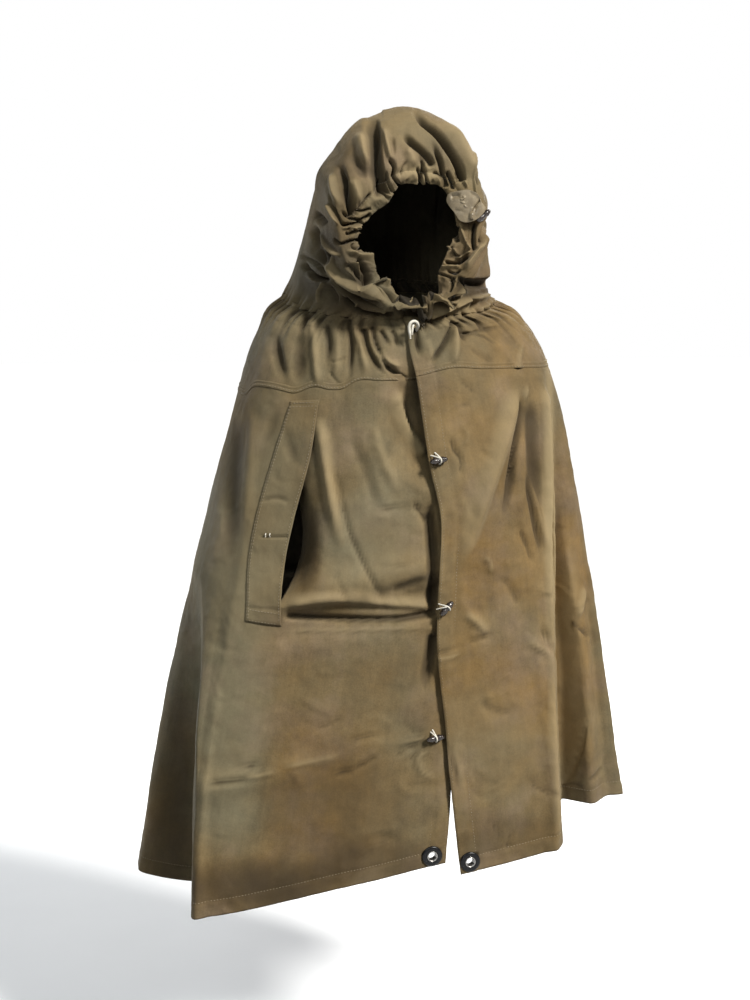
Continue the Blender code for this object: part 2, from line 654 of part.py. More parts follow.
def add_drawcord(collection):
    """The neck drawcord's knot at the front opening and its free end."""
    point, _, _ = surface_frame(cape_point, DRAWCORD_TURN, DRAWCORD_DROP, 1.0, 0.003, DRAWCORD_STAND_OFF)
    bpy.ops.mesh.primitive_uv_sphere_add(segments=12, ring_count=8, radius=KNOT_RADIUS, location=point)
    knot = bpy.context.object
    knot.name = "drawcord_knot"
    knot.data.materials.append(finish(*COTTON))
    move_to(knot, collection)
    route = bpy.data.curves.new("drawcord_end", "CURVE")
    route.dimensions = "3D"
    route.bevel_depth = DRAWCORD_RADIUS
    route.bevel_resolution = 2
    route.use_fill_caps = True
    line = route.splines.new("POLY")
    line.points.add(len(DRAWCORD_POINTS) - 1)
    for knot_point, offset in zip(line.points, DRAWCORD_POINTS):
        knot_point.co = (*(point + Vector(offset)), 1.0)
    cord = bpy.data.objects.new("drawcord_end", route)
    route.materials.append(finish(*COTTON))
    collection.objects.link(cord)


def new_collection(name):
    """A collection of the scene."""
    collection = bpy.data.collections.new(name)
    bpy.context.scene.collection.children.link(collection)
    return collection


def main():
    """Builds the poncho in a cleared scene."""
    for obj in list(bpy.data.objects):
        bpy.data.objects.remove(obj)
    poncho = new_collection("hooded cape poncho")
    cutters = new_collection("cutters")

    face_casing = [FACE_CASING_REACH * step for step in FACE_CASING_REACHES]
    above_casing = FACE_CASING_REACH + SEAM_GAP / 0.05
    hood = [above_casing + (1.0 - above_casing) * step for step in HOOD_REACHES]
    add_wall("hood_casing", hood_grid(face_casing, FACE_CASING_PUFF), CANVAS, poncho, ring=True)
    add_wall("hood", hood_grid(hood), CANVAS, poncho, ring=True)

    yoke_top = NECK_CASING_DROP + 3 * SEAM_GAP
    yoke = [yoke_top + (YOKE_DROP - SEAM_GAP - yoke_top) * step for step in YOKE_STEPS]
    add_wall("neck_casing", cape_grid((SEAM_GAP, 0.8 * NECK_CASING_DROP, NECK_CASING_DROP)), CANVAS, poncho)
    add_wall("yoke", cape_grid(yoke), CANVAS, poncho)
    lower_cape = add_wall("lower_cape", lower_cape_grid(), CANVAS, poncho, slit_edge=slit_front_edge())
    add_wall("arm_flap", arm_flap_grid(), CANVAS, poncho)

    for place in TOGGLES:
        add_looped_toggle(place, poncho)
    for place in EYELETS:
        add_eyelet(place, lower_cape, poncho, cutters)
    add_hood_tab(poncho)
    hood_seat = surface_frame(hood_point, HOOD_TOGGLE_AROUND, HOOD_TOGGLE_REACH, 2.0, 0.02, HOOD_TOGGLE_LIFT)
    add_toggle("hood_toggle", hood_seat, HOOD_TOGGLE_TILT, poncho)
    add_drawcord(poncho)


main()
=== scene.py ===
"""Looks of a hooded cape poncho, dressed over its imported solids.

Units are metres, +Z is up, the front faces -Y and the wearer's left is +X. Two ways of naming a place on the
cloth are used throughout:
  cape: turn, degrees round the body from centre front by the wearer's right, and drop, metres below the neck
  hood: around, degrees round it from its top by the wearer's left, and reach, 0 at the face to 1 at the neck
Creases on the side that the camera sees are placed by the photograph's pixels. Those on the other sides are
placed by turn and drop, or by around and reach. The widths and heights of all creases are in millimetres.
"""

from __future__ import annotations

import logging
import math
from dataclasses import dataclass, field
from enum import Enum
from typing import Callable, NamedTuple, Sequence, TypeVar

import bpy
import numpy as np
from mathutils import Matrix, Vector, noise

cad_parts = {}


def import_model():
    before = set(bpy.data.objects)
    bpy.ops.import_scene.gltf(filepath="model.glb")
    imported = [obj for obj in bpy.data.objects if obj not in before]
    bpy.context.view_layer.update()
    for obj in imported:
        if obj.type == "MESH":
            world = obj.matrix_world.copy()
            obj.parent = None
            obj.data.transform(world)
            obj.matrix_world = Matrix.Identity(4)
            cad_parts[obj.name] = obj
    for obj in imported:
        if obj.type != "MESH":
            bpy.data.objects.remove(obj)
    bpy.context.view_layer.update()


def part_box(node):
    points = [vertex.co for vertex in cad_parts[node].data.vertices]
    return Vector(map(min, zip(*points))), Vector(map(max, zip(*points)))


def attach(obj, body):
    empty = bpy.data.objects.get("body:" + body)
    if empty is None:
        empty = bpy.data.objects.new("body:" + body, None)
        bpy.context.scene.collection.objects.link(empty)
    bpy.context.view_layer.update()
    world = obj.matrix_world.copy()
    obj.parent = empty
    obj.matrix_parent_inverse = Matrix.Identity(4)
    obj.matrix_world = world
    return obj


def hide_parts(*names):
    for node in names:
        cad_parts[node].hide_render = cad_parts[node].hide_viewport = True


LOG = logging.getLogger("poncho")
BODY = "root"
PHOTO_WIDTH = 750
PHOTO_HEIGHT = 1000
MILLIMETRES = 1000.0
TINY = 1e-6
NUDGE = 1e-5
CREASE_SHARPNESS = 1.6
Array = np.ndarray
Surface = Callable[[Array, Array], Array]
Path = tuple[tuple[float, ...], ...]
Colour = tuple[float, float, float, float]
Mesh = tuple[Array, Sequence]
Piece = bpy.types.Object
Material = bpy.types.Material
Socket = bpy.types.NodeSocket
Row = TypeVar("Row")


class Slot(Enum):
    """The record's material slots."""

    CANVAS = "canvas"
    LEATHER = "leather"
    WOOD = "toggle_wood"
    CORD = "cotton_cord"
    METAL = "eyelet_metal"


class Panel(Enum):
    """Stretches of cloth that carry their own creases."""

    HOOD = "hood"
    YOKE = "yoke"
    RIGHT = "right front"
    LEFT = "left front"
    FLAP = "arm flap"


class Crease(NamedTuple):
    """A ridge or trough along a path, with its reach to the left and right of the path as it is walked."""

    path: Path
    left: float
    right: float
    height: float
    crisp: float = 0.5
    fade_in: float = 0.25
    fade_out: float = 0.35


class StainAndPaintedLight(NamedTuple):
    """A soft patch of colour in the photograph: some are real stains, others painted shade and painted
    highlights. Warm runs from grey-green to brown, shade from dark to faded.
    """

    x: float
    y: float
    wide: float
    high: float
    warm: float
    shade: float


class CapeSection(NamedTuple):
    """A level section of the cape; shift is to the wearer's left."""

    drop: float
    half_width: float
    shift: float
    front: float
    back: float
    squareness: float
    side_slope: float
    front_dip: float


class FrontEdges(NamedTuple):
    """Where the two front edges lie at a drop, in degrees of turn."""

    drop: float
    right: float
    left: float


class Flute(NamedTuple):
    """A fold that runs down the cape and deepens to the hem, with its width each side in degrees."""

    turn: float
    top_shift: float
    before: float
    after: float
    height: float
    start: float
    crisp: float


class CrossFold(NamedTuple):
    """A fold that runs round the cape."""

    turn_from: float
    turn_to: float
    drop_from: float
    drop_to: float
    width: float
    height: float


class Shift(NamedTuple):
    """How far an edge or a seam is moved at a place round the cloth."""

    at: float
    by: float


class FoldEdge(NamedTuple):
    """A sharp fold at a drop: its turn, its reach in degrees, and how far it is drawn aside and forward."""

    drop: float
    turn: float
    before: float
    after: float
    aside: float
    forward: float


class FlapSection(NamedTuple):
    """The turns of the arm flap's free and sewn edges at a drop."""

    drop: float
    free: float
    sewn: float


class HoodSection(NamedTuple):
    """A section of the hood: top follows brow, crown and nape, chin the front of the throat."""

    reach: float
    top_y: float
    top_z: float
    chin_y: float
    chin_z: float
    half_width: float
    roundness: float


class HoodFold(NamedTuple):
    """A ridge or trough between two places on the hood."""

    around_from: float
    reach_from: float
    around_to: float
    reach_to: float
    width: float
    height: float


class TogglePlace(NamedTuple):
    """A toggle's seat on the cape, its tilt from level in degrees and the lean of its loop."""

    name: str
    turn: float
    drop: float
    tilt: float
    lean: float


class EyeletPlace(NamedTuple):
    """An eyelet's seat in a corner of the hem."""

    name: str
    turn: float
    drop: float


def rows(kind: Callable[..., Row], *table: tuple) -> tuple[Row, ...]:
    """A table's rows, each made of one kind."""
    return tuple(kind(*values) for values in table)


def creases(*table: tuple) -> tuple[Crease, ...]:
    """Creases from rows that give the path, then left, right and height in millimetres, then the rest."""
    return tuple(Crease(row[0], *(size / MILLIMETRES for size in row[1:4]), *row[4:]) for row in table)


def eased(share: Array | float) -> Array:
    """A smooth step from 0 to 1, held at both ends."""
    share = np.clip(share, 0.0, 1.0)
    return share * share * (3.0 - 2.0 * share)


def bell(off: Array | float, width: float) -> Array:
    """A hump that is 1 in the middle and falls away over a width."""
    return np.exp(-((off / width) ** 2))


def wrapped(degrees: Array | float) -> Array:
    """An angle brought between -180 and 180 degrees."""
    return (np.asarray(degrees, float) + 180.0) % 360.0 - 180.0


def unit(vectors: Array) -> Array:
    """Vectors along the last axis, made one long."""
    return vectors / np.maximum(np.linalg.norm(vectors, axis=-1, keepdims=True), 1e-12)


def level(vectors: Array) -> Array:
    """Directions turned level, one long."""
    return unit(vectors * np.array([1.0, 1.0, 0.0]))


def paired(first: Array | float, second: Array | float) -> tuple[Array, Array]:
    """Two sets of parameters brought to one shape."""
    return np.broadcast_arrays(np.asarray(first, float), np.asarray(second, float))


def walk(path: Array) -> Array:
    """The length along a path at each of its points."""
    return np.concatenate(([0.0], np.cumsum(np.linalg.norm(np.diff(path, axis=0), axis=1))))


def read(table: Sequence[NamedTuple], at: Array | float, column: str) -> Array:
    """Reads a column of a table on a smooth curve through its rows.

    Args:
        table: Rows in order of their first column.
        at: Values of the first column to read at.
        column: Name of the column that is read.

    Returns:
        The column's values there.
    """
    at = np.asarray(at, float)
    keys = np.array([row[0] for row in table])
    values = np.array([getattr(row, column) for row in table])
    slopes = np.gradient(values, keys)
    low = np.clip(np.searchsorted(keys, at) - 1, 0, len(keys) - 2)
    span = keys[low + 1] - keys[low]
    t = (at - keys[low]) / span
    rise = values[low + 1] - values[low]
    from_low = slopes[low] * span - rise
    from_high = rise - slopes[low + 1] * span
    return values[low] + rise * t + t * (1 - t) * (from_low * (1 - t) + from_high * t)


def outward(surface: Surface, first: Array, second: Array, first_step: float, second_step: float) -> Array:
    """The outward normal of a surface of two parameters, from small steps each way.

    Args:
        surface: Gives points at the two parameters.
        first: Values of the first parameter.
        second: Values of the second parameter.
        first_step: Half the step along the first.
        second_step: Half the step along the second.

    Returns:
        Normals, one long.
    """
    along = surface(first + first_step, second) - surface(first - first_step, second)
    down = surface(first, second + second_step) - surface(first, second - second_step)
    return unit(np.cross(along, down))


def smooth_path(path: Path, stretch: tuple[float, ...] | float = 1.0, steps: int = 8) -> Array:
    """Points on a smooth curve through a path.

    Args:
        path: The points it goes through.
        stretch: What each coordinate is multiplied by.
        steps: Points for each stretch of the path.

    Returns:
        The curve's points.
    """
    knots = np.array(path, float) * np.array(stretch)
    padded = np.vstack((2 * knots[0] - knots[1], knots, 2 * knots[-1] - knots[-2]))
    t = np.linspace(0.0, 1.0, steps, endpoint=False)[:, None]
    found = []
    for a, b, c, d in zip(padded, padded[1:], padded[2:], padded[3:]):
        found.append(b + 0.5 * t * (c - a + t * (2 * a - 5 * b + 4 * c - d + t * (3 * (b - c) + d - a))))
    return np.vstack((*found, knots[-1:]))


def crease_relief(table: Sequence[Crease], place: Array, metres: Array | float,
                  stretch: tuple[float, float] = (1.0, 1.0)) -> Array:
    """How far creases stand out of the cloth.

    Args:
        table: The creases, their paths in the map's units before stretch.
        place: Where each point of the cloth lies on the map, along the last axis.
        metres: Length of one unit of the map.
        stretch: What the paths' coordinates are multiplied by to be on the map.

    Returns:
        Heights in metres, negative in a trough.
    """
    shape = place.shape[:-1]
    spots = place.reshape(-1, 2)
    scale = np.broadcast_to(metres, shape).reshape(-1)
    relief = np.zeros(len(spots))
    for crease in table:
        line = smooth_path(crease.path, stretch)
        margin = max(crease.left, crease.right) / scale.min()
        inside = np.all((spots > line.min(axis=0) - margin) & (spots < line.max(axis=0) + margin), axis=1)
        near = np.flatnonzero(inside)
        if not near.size:
            continue
        run = np.diff(line, axis=0)
        length = np.linalg.norm(run, axis=1)
        off = spots[near][:, None, :] - line[:-1]
        along = np.clip((off * run).sum(axis=-1) / length**2, 0.0, 1.0)
        gap = np.linalg.norm(off - along[..., None] * run, axis=-1)
        nearest = gap.argmin(axis=1)
        pick = (np.arange(len(near)), nearest)
        side = run[nearest, 0] * off[pick][:, 1] - run[nearest, 1] * off[pick][:, 0]
        width = np.where(side > 0, crease.right, crease.left)
        close = 1.0 - np.clip(gap[pick] * scale[near] / width, 0.0, 1.0)
        walked = (walk(line)[nearest] + along[pick] * length[nearest]) / length.sum()
        taper = eased(walked / max(crease.fade_in, TINY)) * eased((1.0 - walked) / max(crease.fade_out, TINY))
        profile = (1.0 - crease.crisp) * eased(close) + crease.crisp * close**CREASE_SHARPNESS
        relief[near] += crease.height * taper * profile
    return relief.reshape(shape)


def ripple(points: Array, size: float, seed: float) -> Array:
    """Smooth noise at points.

    Args:
        points: Places in metres.
        size: Length of a ripple.
        seed: Shifts the noise to another part of itself.

    Returns:
        Values from about -1 to 1.
    """
    flat = points.reshape(-1, 3) / size + seed
    return np.array([noise.noise(place) for place in flat.tolist()]).reshape(points.shape[:-1])


@dataclass(frozen=True)
class PhotoCamera:
    """The photograph's camera, which also reads places on the cloth as pixels."""

    distance: float = 2.4
    azimuth: float = -12.0
    pitch_down: float = 8.3
    focal_px: float = 1371.0
    origin_px: float = 388.0
    sensor: float = 36.0
    far: float = 60.0
    grazing: float = 0.12

    def location(self) -> Vector:
        """Where the camera stands."""
        angle = math.radians(self.azimuth)
        return Vector((math.sin(angle), -math.cos(angle), 0.0)) * self.distance

    def forward(self) -> Vector:
        """The way the camera looks.

        Returns:
            A direction, one long.
        """
        aside = math.atan((self.origin_px - PHOTO_WIDTH / 2) / self.focal_px)
        yaw = -math.radians(self.azimuth) - aside
        pitch = math.radians(self.pitch_down)
        return Vector((math.sin(yaw) * math.cos(pitch), math.cos(yaw) * math.cos(pitch), -math.sin(pitch)))

    def place(self) -> None:
        """Adds the camera to the scene and makes it the one that renders."""
        lens = bpy.data.cameras.new("photo_camera")
        lens.sensor_fit = "VERTICAL"
        lens.sensor_height = self.sensor
        lens.lens = self.sensor * self.focal_px / PHOTO_HEIGHT
        lens.clip_end = self.far
        camera = bpy.data.objects.new("photo_camera", lens)
        bpy.context.scene.collection.objects.link(camera)
        camera.location = self.location()
        camera.rotation_euler = self.forward().to_track_quat("-Z", "Y").to_euler()
        bpy.context.scene.camera = camera

    def pixels(self, points: Array) -> tuple[Array, Array]:
        """Where points fall in the photograph.

        Args:
            points: Places in metres, along the last axis.

        Returns:
            Pixels along the last axis, and the length of a pixel there in metres.
        """
        ahead = self.forward()
        right = ahead.cross(Vector((0.0, 0.0, 1.0))).normalized()
        above = right.cross(ahead)
        off = points - np.array(self.location())
        depth = off @ np.array(ahead)
        x = PHOTO_WIDTH / 2 + self.focal_px * (off @ np.array(right)) / depth
        y = PHOTO_HEIGHT / 2 - self.focal_px * (off @ np.array(above)) / depth
        return np.stack((x, y), axis=-1), depth / self.focal_px

    def sees(self, points: Array, normals: Array) -> Array:
        """How far the cloth faces the camera: 1 where it does, 0 where it faces away, eased between."""
        toward = unit(np.array(self.location()) - points)
        return eased(((toward * normals).sum(axis=-1) + self.grazing) / (2 * self.grazing))


@dataclass(frozen=True)
class Gathers:
    """Uneven pleats that a drawcord draws up, drawn from a seed; a pair of values is a range."""

    count: int
    depth: float
    run: float
    seed: int
    puff: float = 0.34
    stray: tuple[float, float] = (-0.34, 0.34)
    deepness: tuple[float, float] = (0.5, 1.35)
    length: tuple[float, float] = (0.35, 1.6)
    width: tuple[float, float] = (0.30, 0.62)
    lean: tuple[float, float] = (-0.10, 0.10)
    widening: float = 0.7
    sharpness: float = 1.5

    def relief(self, share: Array, away: Array) -> Array:
        """How far the pleats stand out of the cloth.

        Args:
            share: Place round the cord, from 0 to 1.
            away: Distance from the cord in metres.

        Returns:
            Heights in metres: sharp troughs with round backs between them.
        """
        draw = np.random.default_rng(self.seed)
        height = self.puff * self.depth * np.exp(-away / self.run)
        for pleat in range(self.count):
            centre = (pleat + draw.uniform(*self.stray)) / self.count
            deep = self.depth * draw.uniform(*self.deepness)
            run = self.run * draw.uniform(*self.length)
            wide = draw.uniform(*self.width) / self.count
            lean = draw.uniform(*self.lean)
            off = (share - centre - lean * away + 0.5) % 1.0 - 0.5
            close = 1.0 - np.clip(np.abs(off) / (wide * (1.0 + self.widening * away / run)), 0.0, 1.0)
            height = height - deep * close**self.sharpness * np.exp(-away / run)
        return height


@dataclass(frozen=True)
class CapeForm:
    """The worn cape's form: sections from neck to hem with the folds of the solids."""

    hem_drop: float = 0.965
    sections: tuple[CapeSection, ...] = rows(
        CapeSection,
        (0.0, 0.183, 0.0, 0.136, 0.136, 2.00, 0.0, 0.033),
        (0.012, 0.207, 0.004, 0.141, 0.142, 2.00, 0.012, 0.030),
        (0.048, 0.239, 0.010, 0.151, 0.154, 2.05, 0.035, 0.021),
        (0.090, 0.260, 0.012, 0.161, 0.163, 2.10, 0.056, 0.012),
        (0.131, 0.273, 0.012, 0.169, 0.168, 2.15, 0.074, 0.005),
        (0.190, 0.291, 0.012, 0.177, 0.173, 2.20, 0.085, 0.0),
        (0.280, 0.314, 0.009, 0.185, 0.177, 2.25, 0.100, 0.0),
        (0.450, 0.352, 0.002, 0.193, 0.182, 2.35, 0.122, 0.0),
        (0.630, 0.389, -0.003, 0.199, 0.187, 2.45, 0.132, 0.0),
        (0.800, 0.419, -0.006, 0.204, 0.193, 2.50, 0.140, 0.0),
        (0.965, 0.446, -0.006, 0.208, 0.198, 2.50, 0.146, 0.0),
    )
    front_edges: tuple[FrontEdges, ...] = rows(
        FrontEdges,
        (0.0, -8.0, 361.5), (0.050, -9.0, 362.2), (0.160, -10.0, 359.8), (0.260, -11.0, 356.8),
        (0.360, -12.5, 353.0), (0.450, -13.0, 353.3), (0.560, -12.5, 353.8), (0.700, -11.0, 351.8),
        (0.830, -9.8, 350.4), (0.965, -8.0, 348.9),
    )
    flutes: tuple[Flute, ...] = rows(
        Flute,
        (47.0, 4.5, 21.0, 5.5, 0.018, 0.33, 0.9),
        (73.0, 7.0, 27.5, 27.5, -0.121, 0.425, 0.1),
        (112.0, -4.0, 12.0, 24.0, 0.012, 0.24, 0.4),
        (149.0, -2.0, 16.0, 16.0, -0.046, 0.24, 0.1),
        (172.0, 2.0, 13.0, 15.0, 0.022, 0.20, 0.3),
        (201.0, 0.0, 17.0, 15.0, -0.044, 0.22, 0.1),
        (229.0, 3.0, 14.0, 17.0, 0.026, 0.22, 0.3),
        (257.0, 2.0, 14.0, 14.0, -0.050, 0.26, 0.1),
        (288.0, 2.0, 8.0, 6.0, 0.014, 0.30, 0.8),
        (302.0, 2.5, 21.0, 25.0, -0.116, 0.148, 0.2),
        (327.0, 1.5, 5.5, 21.0, 0.016, 0.11, 0.8),
    )
    cross_folds: tuple[CrossFold, ...] = rows(
        CrossFold,
        (-34.0, 46.0, 0.484, 0.512, 0.045, -0.014),
        (-34.0, 46.0, 0.440, 0.450, 0.040, 0.008),
        (20.0, 58.0, 0.745, 0.755, 0.034, 0.006),
    )
    hem_rises: tuple[Shift, ...] = rows(
        Shift,
        (-14.0, 0.014), (10.0, 0.011), (46.0, -0.004), (100.0, 0.018), (150.0, 0.004), (230.0, 0.0),
        (285.0, -0.007), (326.0, -0.008), (361.0, -0.010),
    )
    flute_growth: float = 0.85
    flute_sharpness: float = 1.5
    cross_fade: float = 4.0
    lap_lift: float = 0.009
    lap_turns: tuple[float, float] = (318.0, 350.0)
    sag: float = 0.026
    sag_drops: tuple[float, float, float] = (0.10, 0.19, 0.32)
    sag_turn: float = 14.0

    def section_point(self, turn: Array, drop: Array) -> Array:
        """Points of the cape before folds and gathers.

        Args:
            turn: Degrees round the body.
            drop: Metres below the neck.

        Returns:
            Points along the last axis.
        """
        turn, drop = paired(turn, drop)
        cosine = np.cos(np.radians(turn))
        sine = np.sin(np.radians(turn))
        square = read(self.sections, drop, "squareness")
        corner = (np.abs(cosine) ** square + np.abs(sine) ** square) ** (-1.0 / square)
        depth = np.where(cosine > 0, read(self.sections, drop, "front"), read(self.sections, drop, "back"))
        x = read(self.sections, drop, "shift") - read(self.sections, drop, "half_width") * sine * corner
        y = -depth * cosine * corner
        slope = read(self.sections, drop, "side_slope")
        z = -drop + slope * x - read(self.sections, drop, "front_dip") * cosine
        return np.stack((x, y, z), axis=-1)

    def fold_relief(self, turn: Array, drop: Array) -> Array:
        """How far the flutes, cross folds and the lap stand out of the sections.

        Args:
            turn: Degrees round the body.
            drop: Metres below the neck.

        Returns:
            Heights in metres.
        """
        relief = np.zeros(np.broadcast(turn, drop).shape)
        for flute in self.flutes:
            grown = np.clip((drop - flute.start) / (self.hem_drop - flute.start), 0.0, 1.0)
            away = wrapped(turn - flute.turn - flute.top_shift * (1.0 - grown))
            near = 1.0 - np.clip(np.abs(away) / np.where(away < 0, flute.before, flute.after), 0.0, 1.0)
            shape = (1.0 - flute.crisp) * eased(near) + flute.crisp * near**self.flute_sharpness
            relief = relief + flute.height * grown**self.flute_growth * shape
        for fold in self.cross_folds:
            along = (turn - fold.turn_from) / (fold.turn_to - fold.turn_from)
            middle = fold.drop_from + np.clip(along, 0.0, 1.0) * (fold.drop_to - fold.drop_from)
            near = 1.0 - np.abs(drop - middle) / fold.width
            ends = eased(self.cross_fade * along) * eased(self.cross_fade * (1.0 - along))
            relief = relief + fold.height * eased(near) * ends
        lap_from, lap_full = self.lap_turns
        lift = self.lap_lift * eased((turn - lap_from) / (lap_full - lap_from))
        high, deepest, low = self.sag_drops
        falling = eased((drop - high) / (deepest - high))
        rising = eased((low - drop) / (low - deepest))
        sag = np.where(drop < deepest, falling, rising) * eased((self.sag_turn - turn) / self.sag_turn)
        return relief + lift - self.sag * sag

    def edges(self, drop: Array | float) -> tuple[Array, Array]:
        """The turns of the right and left front edges at a drop."""
        return read(self.front_edges, drop, "right"), read(self.front_edges, drop, "left")

    def turn(self, share: Array, drop: Array) -> Array:
        """The turn of a place that is a share of the way from the right front edge to the left one."""
        right, left = self.edges(drop)
        return right + share * (left - right)

    def degree(self, drop: Array) -> Array:
        """Length of a degree of turn at the front, in metres."""
        return read(self.sections, drop, "half_width") * math.pi / 180.0

    def out(self, turn: Array, drop: Array) -> Array:
        """The level way out of the cloth."""
        return level(outward(self.section_point, turn, drop, 0.5, 0.002))

    def point(self, turn: Array, drop: Array, lift: Array | float = 0.0) -> Array:
        """Points of the worn cape, moved level out of its cloth by lift.

        Args:
            turn: Degrees round the body.
            drop: Metres below the neck.
            lift: Metres out of the cloth.

        Returns:
            Points along the last axis.
        """
        turn, drop = paired(turn, drop)
        relief = self.fold_relief(turn, drop) + lift
        point = self.section_point(turn, drop) + self.out(turn, drop) * relief[..., None]
        point[..., 2] += read(self.hem_rises, turn, "by") * (np.maximum(drop, 0.0) / self.hem_drop) ** 2
        return point


@dataclass(frozen=True)
class HoodForm:
    """The hood's form: sections from face to neck with the folds of the solids."""

    lean: float = 0.07
    fold_radius: float = 0.14
    fold_length: float = 0.50
    fold_spread: float = 1.6
    sections: tuple[HoodSection, ...] = rows(
        HoodSection,
        (0.0, -0.128, 0.184, -0.146, -0.014, 0.088, 1.85),
        (0.065, -0.137, 0.205, -0.160, -0.010, 0.102, 1.95),
        (0.16, -0.128, 0.252, -0.171, -0.010, 0.117, 2.0),
        (0.28, -0.090, 0.300, -0.175, -0.013, 0.129, 2.0),
        (0.40, -0.026, 0.324, -0.174, -0.016, 0.137, 2.05),
        (0.54, 0.052, 0.307, -0.168, -0.019, 0.143, 2.05),
        (0.67, 0.104, 0.252, -0.160, -0.022, 0.149, 2.05),
        (0.80, 0.130, 0.172, -0.151, -0.025, 0.156, 2.05),
        (0.91, 0.137, 0.092, -0.144, -0.028, 0.168, 2.0),
        (1.00, 0.136, 0.0336, -0.136, -0.0324, 0.183, 2.0),
    )
    folds: tuple[HoodFold, ...] = rows(
        HoodFold,
        (-106.0, 0.66, -172.0, 0.62, 0.020, -0.012),
        (98.0, 0.24, 166.0, 0.30, 0.020, 0.010),
        (92.0, 0.62, 160.0, 0.60, 0.024, -0.014),
        (88.0, 0.62, 98.0, 0.97, 0.036, 0.018),
        (-82.0, 0.26, -68.0, 0.60, 0.030, 0.010),
        (12.0, 0.55, 30.0, 0.95, 0.030, -0.010),
        (-30.0, 0.60, -18.0, 0.95, 0.030, -0.010),
        (99.0, 0.16, 88.0, 1.00, 0.0120, -0.022),
        (60.0, 0.36, 86.0, 0.38, 0.060, -0.009),
        (24.0, 0.38, 46.0, 0.40, 0.050, -0.008),
        (-16.0, 0.40, -32.0, 0.42, 0.044, -0.006),
    )
    # How far the drawcord draws the rim in
    rim: tuple[Shift, ...] = rows(
        Shift,
        (-180.0, 0.014), (-170.0, 0.018), (-158.0, 0.027), (-141.0, 0.020), (-116.0, 0.026), (-99.0, 0.014),
        (-88.0, 0.001), (-72.0, 0.001), (-54.0, 0.007), (-32.0, 0.012), (-15.0, -0.003), (10.0, -0.003),
        (27.0, -0.014), (40.0, -0.010), (54.0, -0.002), (66.0, 0.002), (78.0, 0.011), (94.0, 0.022),
        (112.0, 0.025), (131.0, 0.019), (144.0, 0.0), (158.0, 0.003), (180.0, 0.014),
    )
    rim_reach: float = 0.19

    def section_point(self, around: Array, reach: Array) -> Array:
        """Points of the hood before folds and gathers.

        Args:
            around: Degrees round the hood.
            reach: 0 at the face to 1 at the neck.

        Returns:
            Points along the last axis.
        """
        around, reach = paired(around, reach)
        cosine = np.cos(np.radians(around))
        sine = np.sin(np.radians(around))
        rounded = read(self.sections, reach, "roundness")
        corner = (np.abs(cosine) ** rounded + np.abs(sine) ** rounded) ** (-1.0 / rounded)
        toward_top = 0.5 * (1.0 + cosine * corner)
        top_z = read(self.sections, reach, "top_z")
        chin_y = read(self.sections, reach, "chin_y")
        chin_z = read(self.sections, reach, "chin_z")
        y = chin_y + toward_top * (read(self.sections, reach, "top_y") - chin_y)
        z = chin_z + toward_top * (top_z - chin_z)
        aside = read(self.sections, reach, "half_width") * sine * corner
        x = self.lean * z * (1.0 - reach**4) + aside
        middle = 0.5 * (top_z + chin_z)
        drawn = read(self.rim, wrapped(around), "by") * np.clip(1.0 - reach / self.rim_reach, 0.0, 1.0) ** 2
        drawn = drawn / np.hypot(aside, z - middle)
        return np.stack((x - drawn * aside, y, z - drawn * (z - middle)), axis=-1)

    def degree(self) -> float:
        """Length of a degree round the hood, in metres."""
        return self.fold_radius * math.pi / 180.0

    def fold_relief(self, around: Array, reach: Array) -> Array:
        """How far the folds stand out of the sections.

        Args:
            around: Degrees round the hood.
            reach: 0 at the face to 1 at the neck.

        Returns:
            Heights in metres.
        """
        relief = np.zeros(np.broadcast(around, reach).shape)
        for fold in self.folds:
            run_round = (fold.around_to - fold.around_from) * self.degree()
            run_back = (fold.reach_to - fold.reach_from) * self.fold_length
            off_round = wrapped(around - fold.around_from) * self.degree()
            off_back = (reach - fold.reach_from) * self.fold_length
            along = (off_round * run_round + off_back * run_back) / (run_round**2 + run_back**2)
            along = np.clip(along, 0.0, 1.0)
            away = np.hypot(off_round - along * run_round, off_back - along * run_back)
            taper = eased(along * 5.0 + 0.5) * eased((1.0 - along) * 2.5)
            relief = relief + fold.height * taper * eased(1.0 - away / (self.fold_spread * fold.width))
        return relief

    def out(self, around: Array, reach: Array) -> Array:
        """The way out of the hood's sections."""
        return outward(self.section_point, around, np.clip(reach, 0.004, 0.996), 0.5, 0.004)


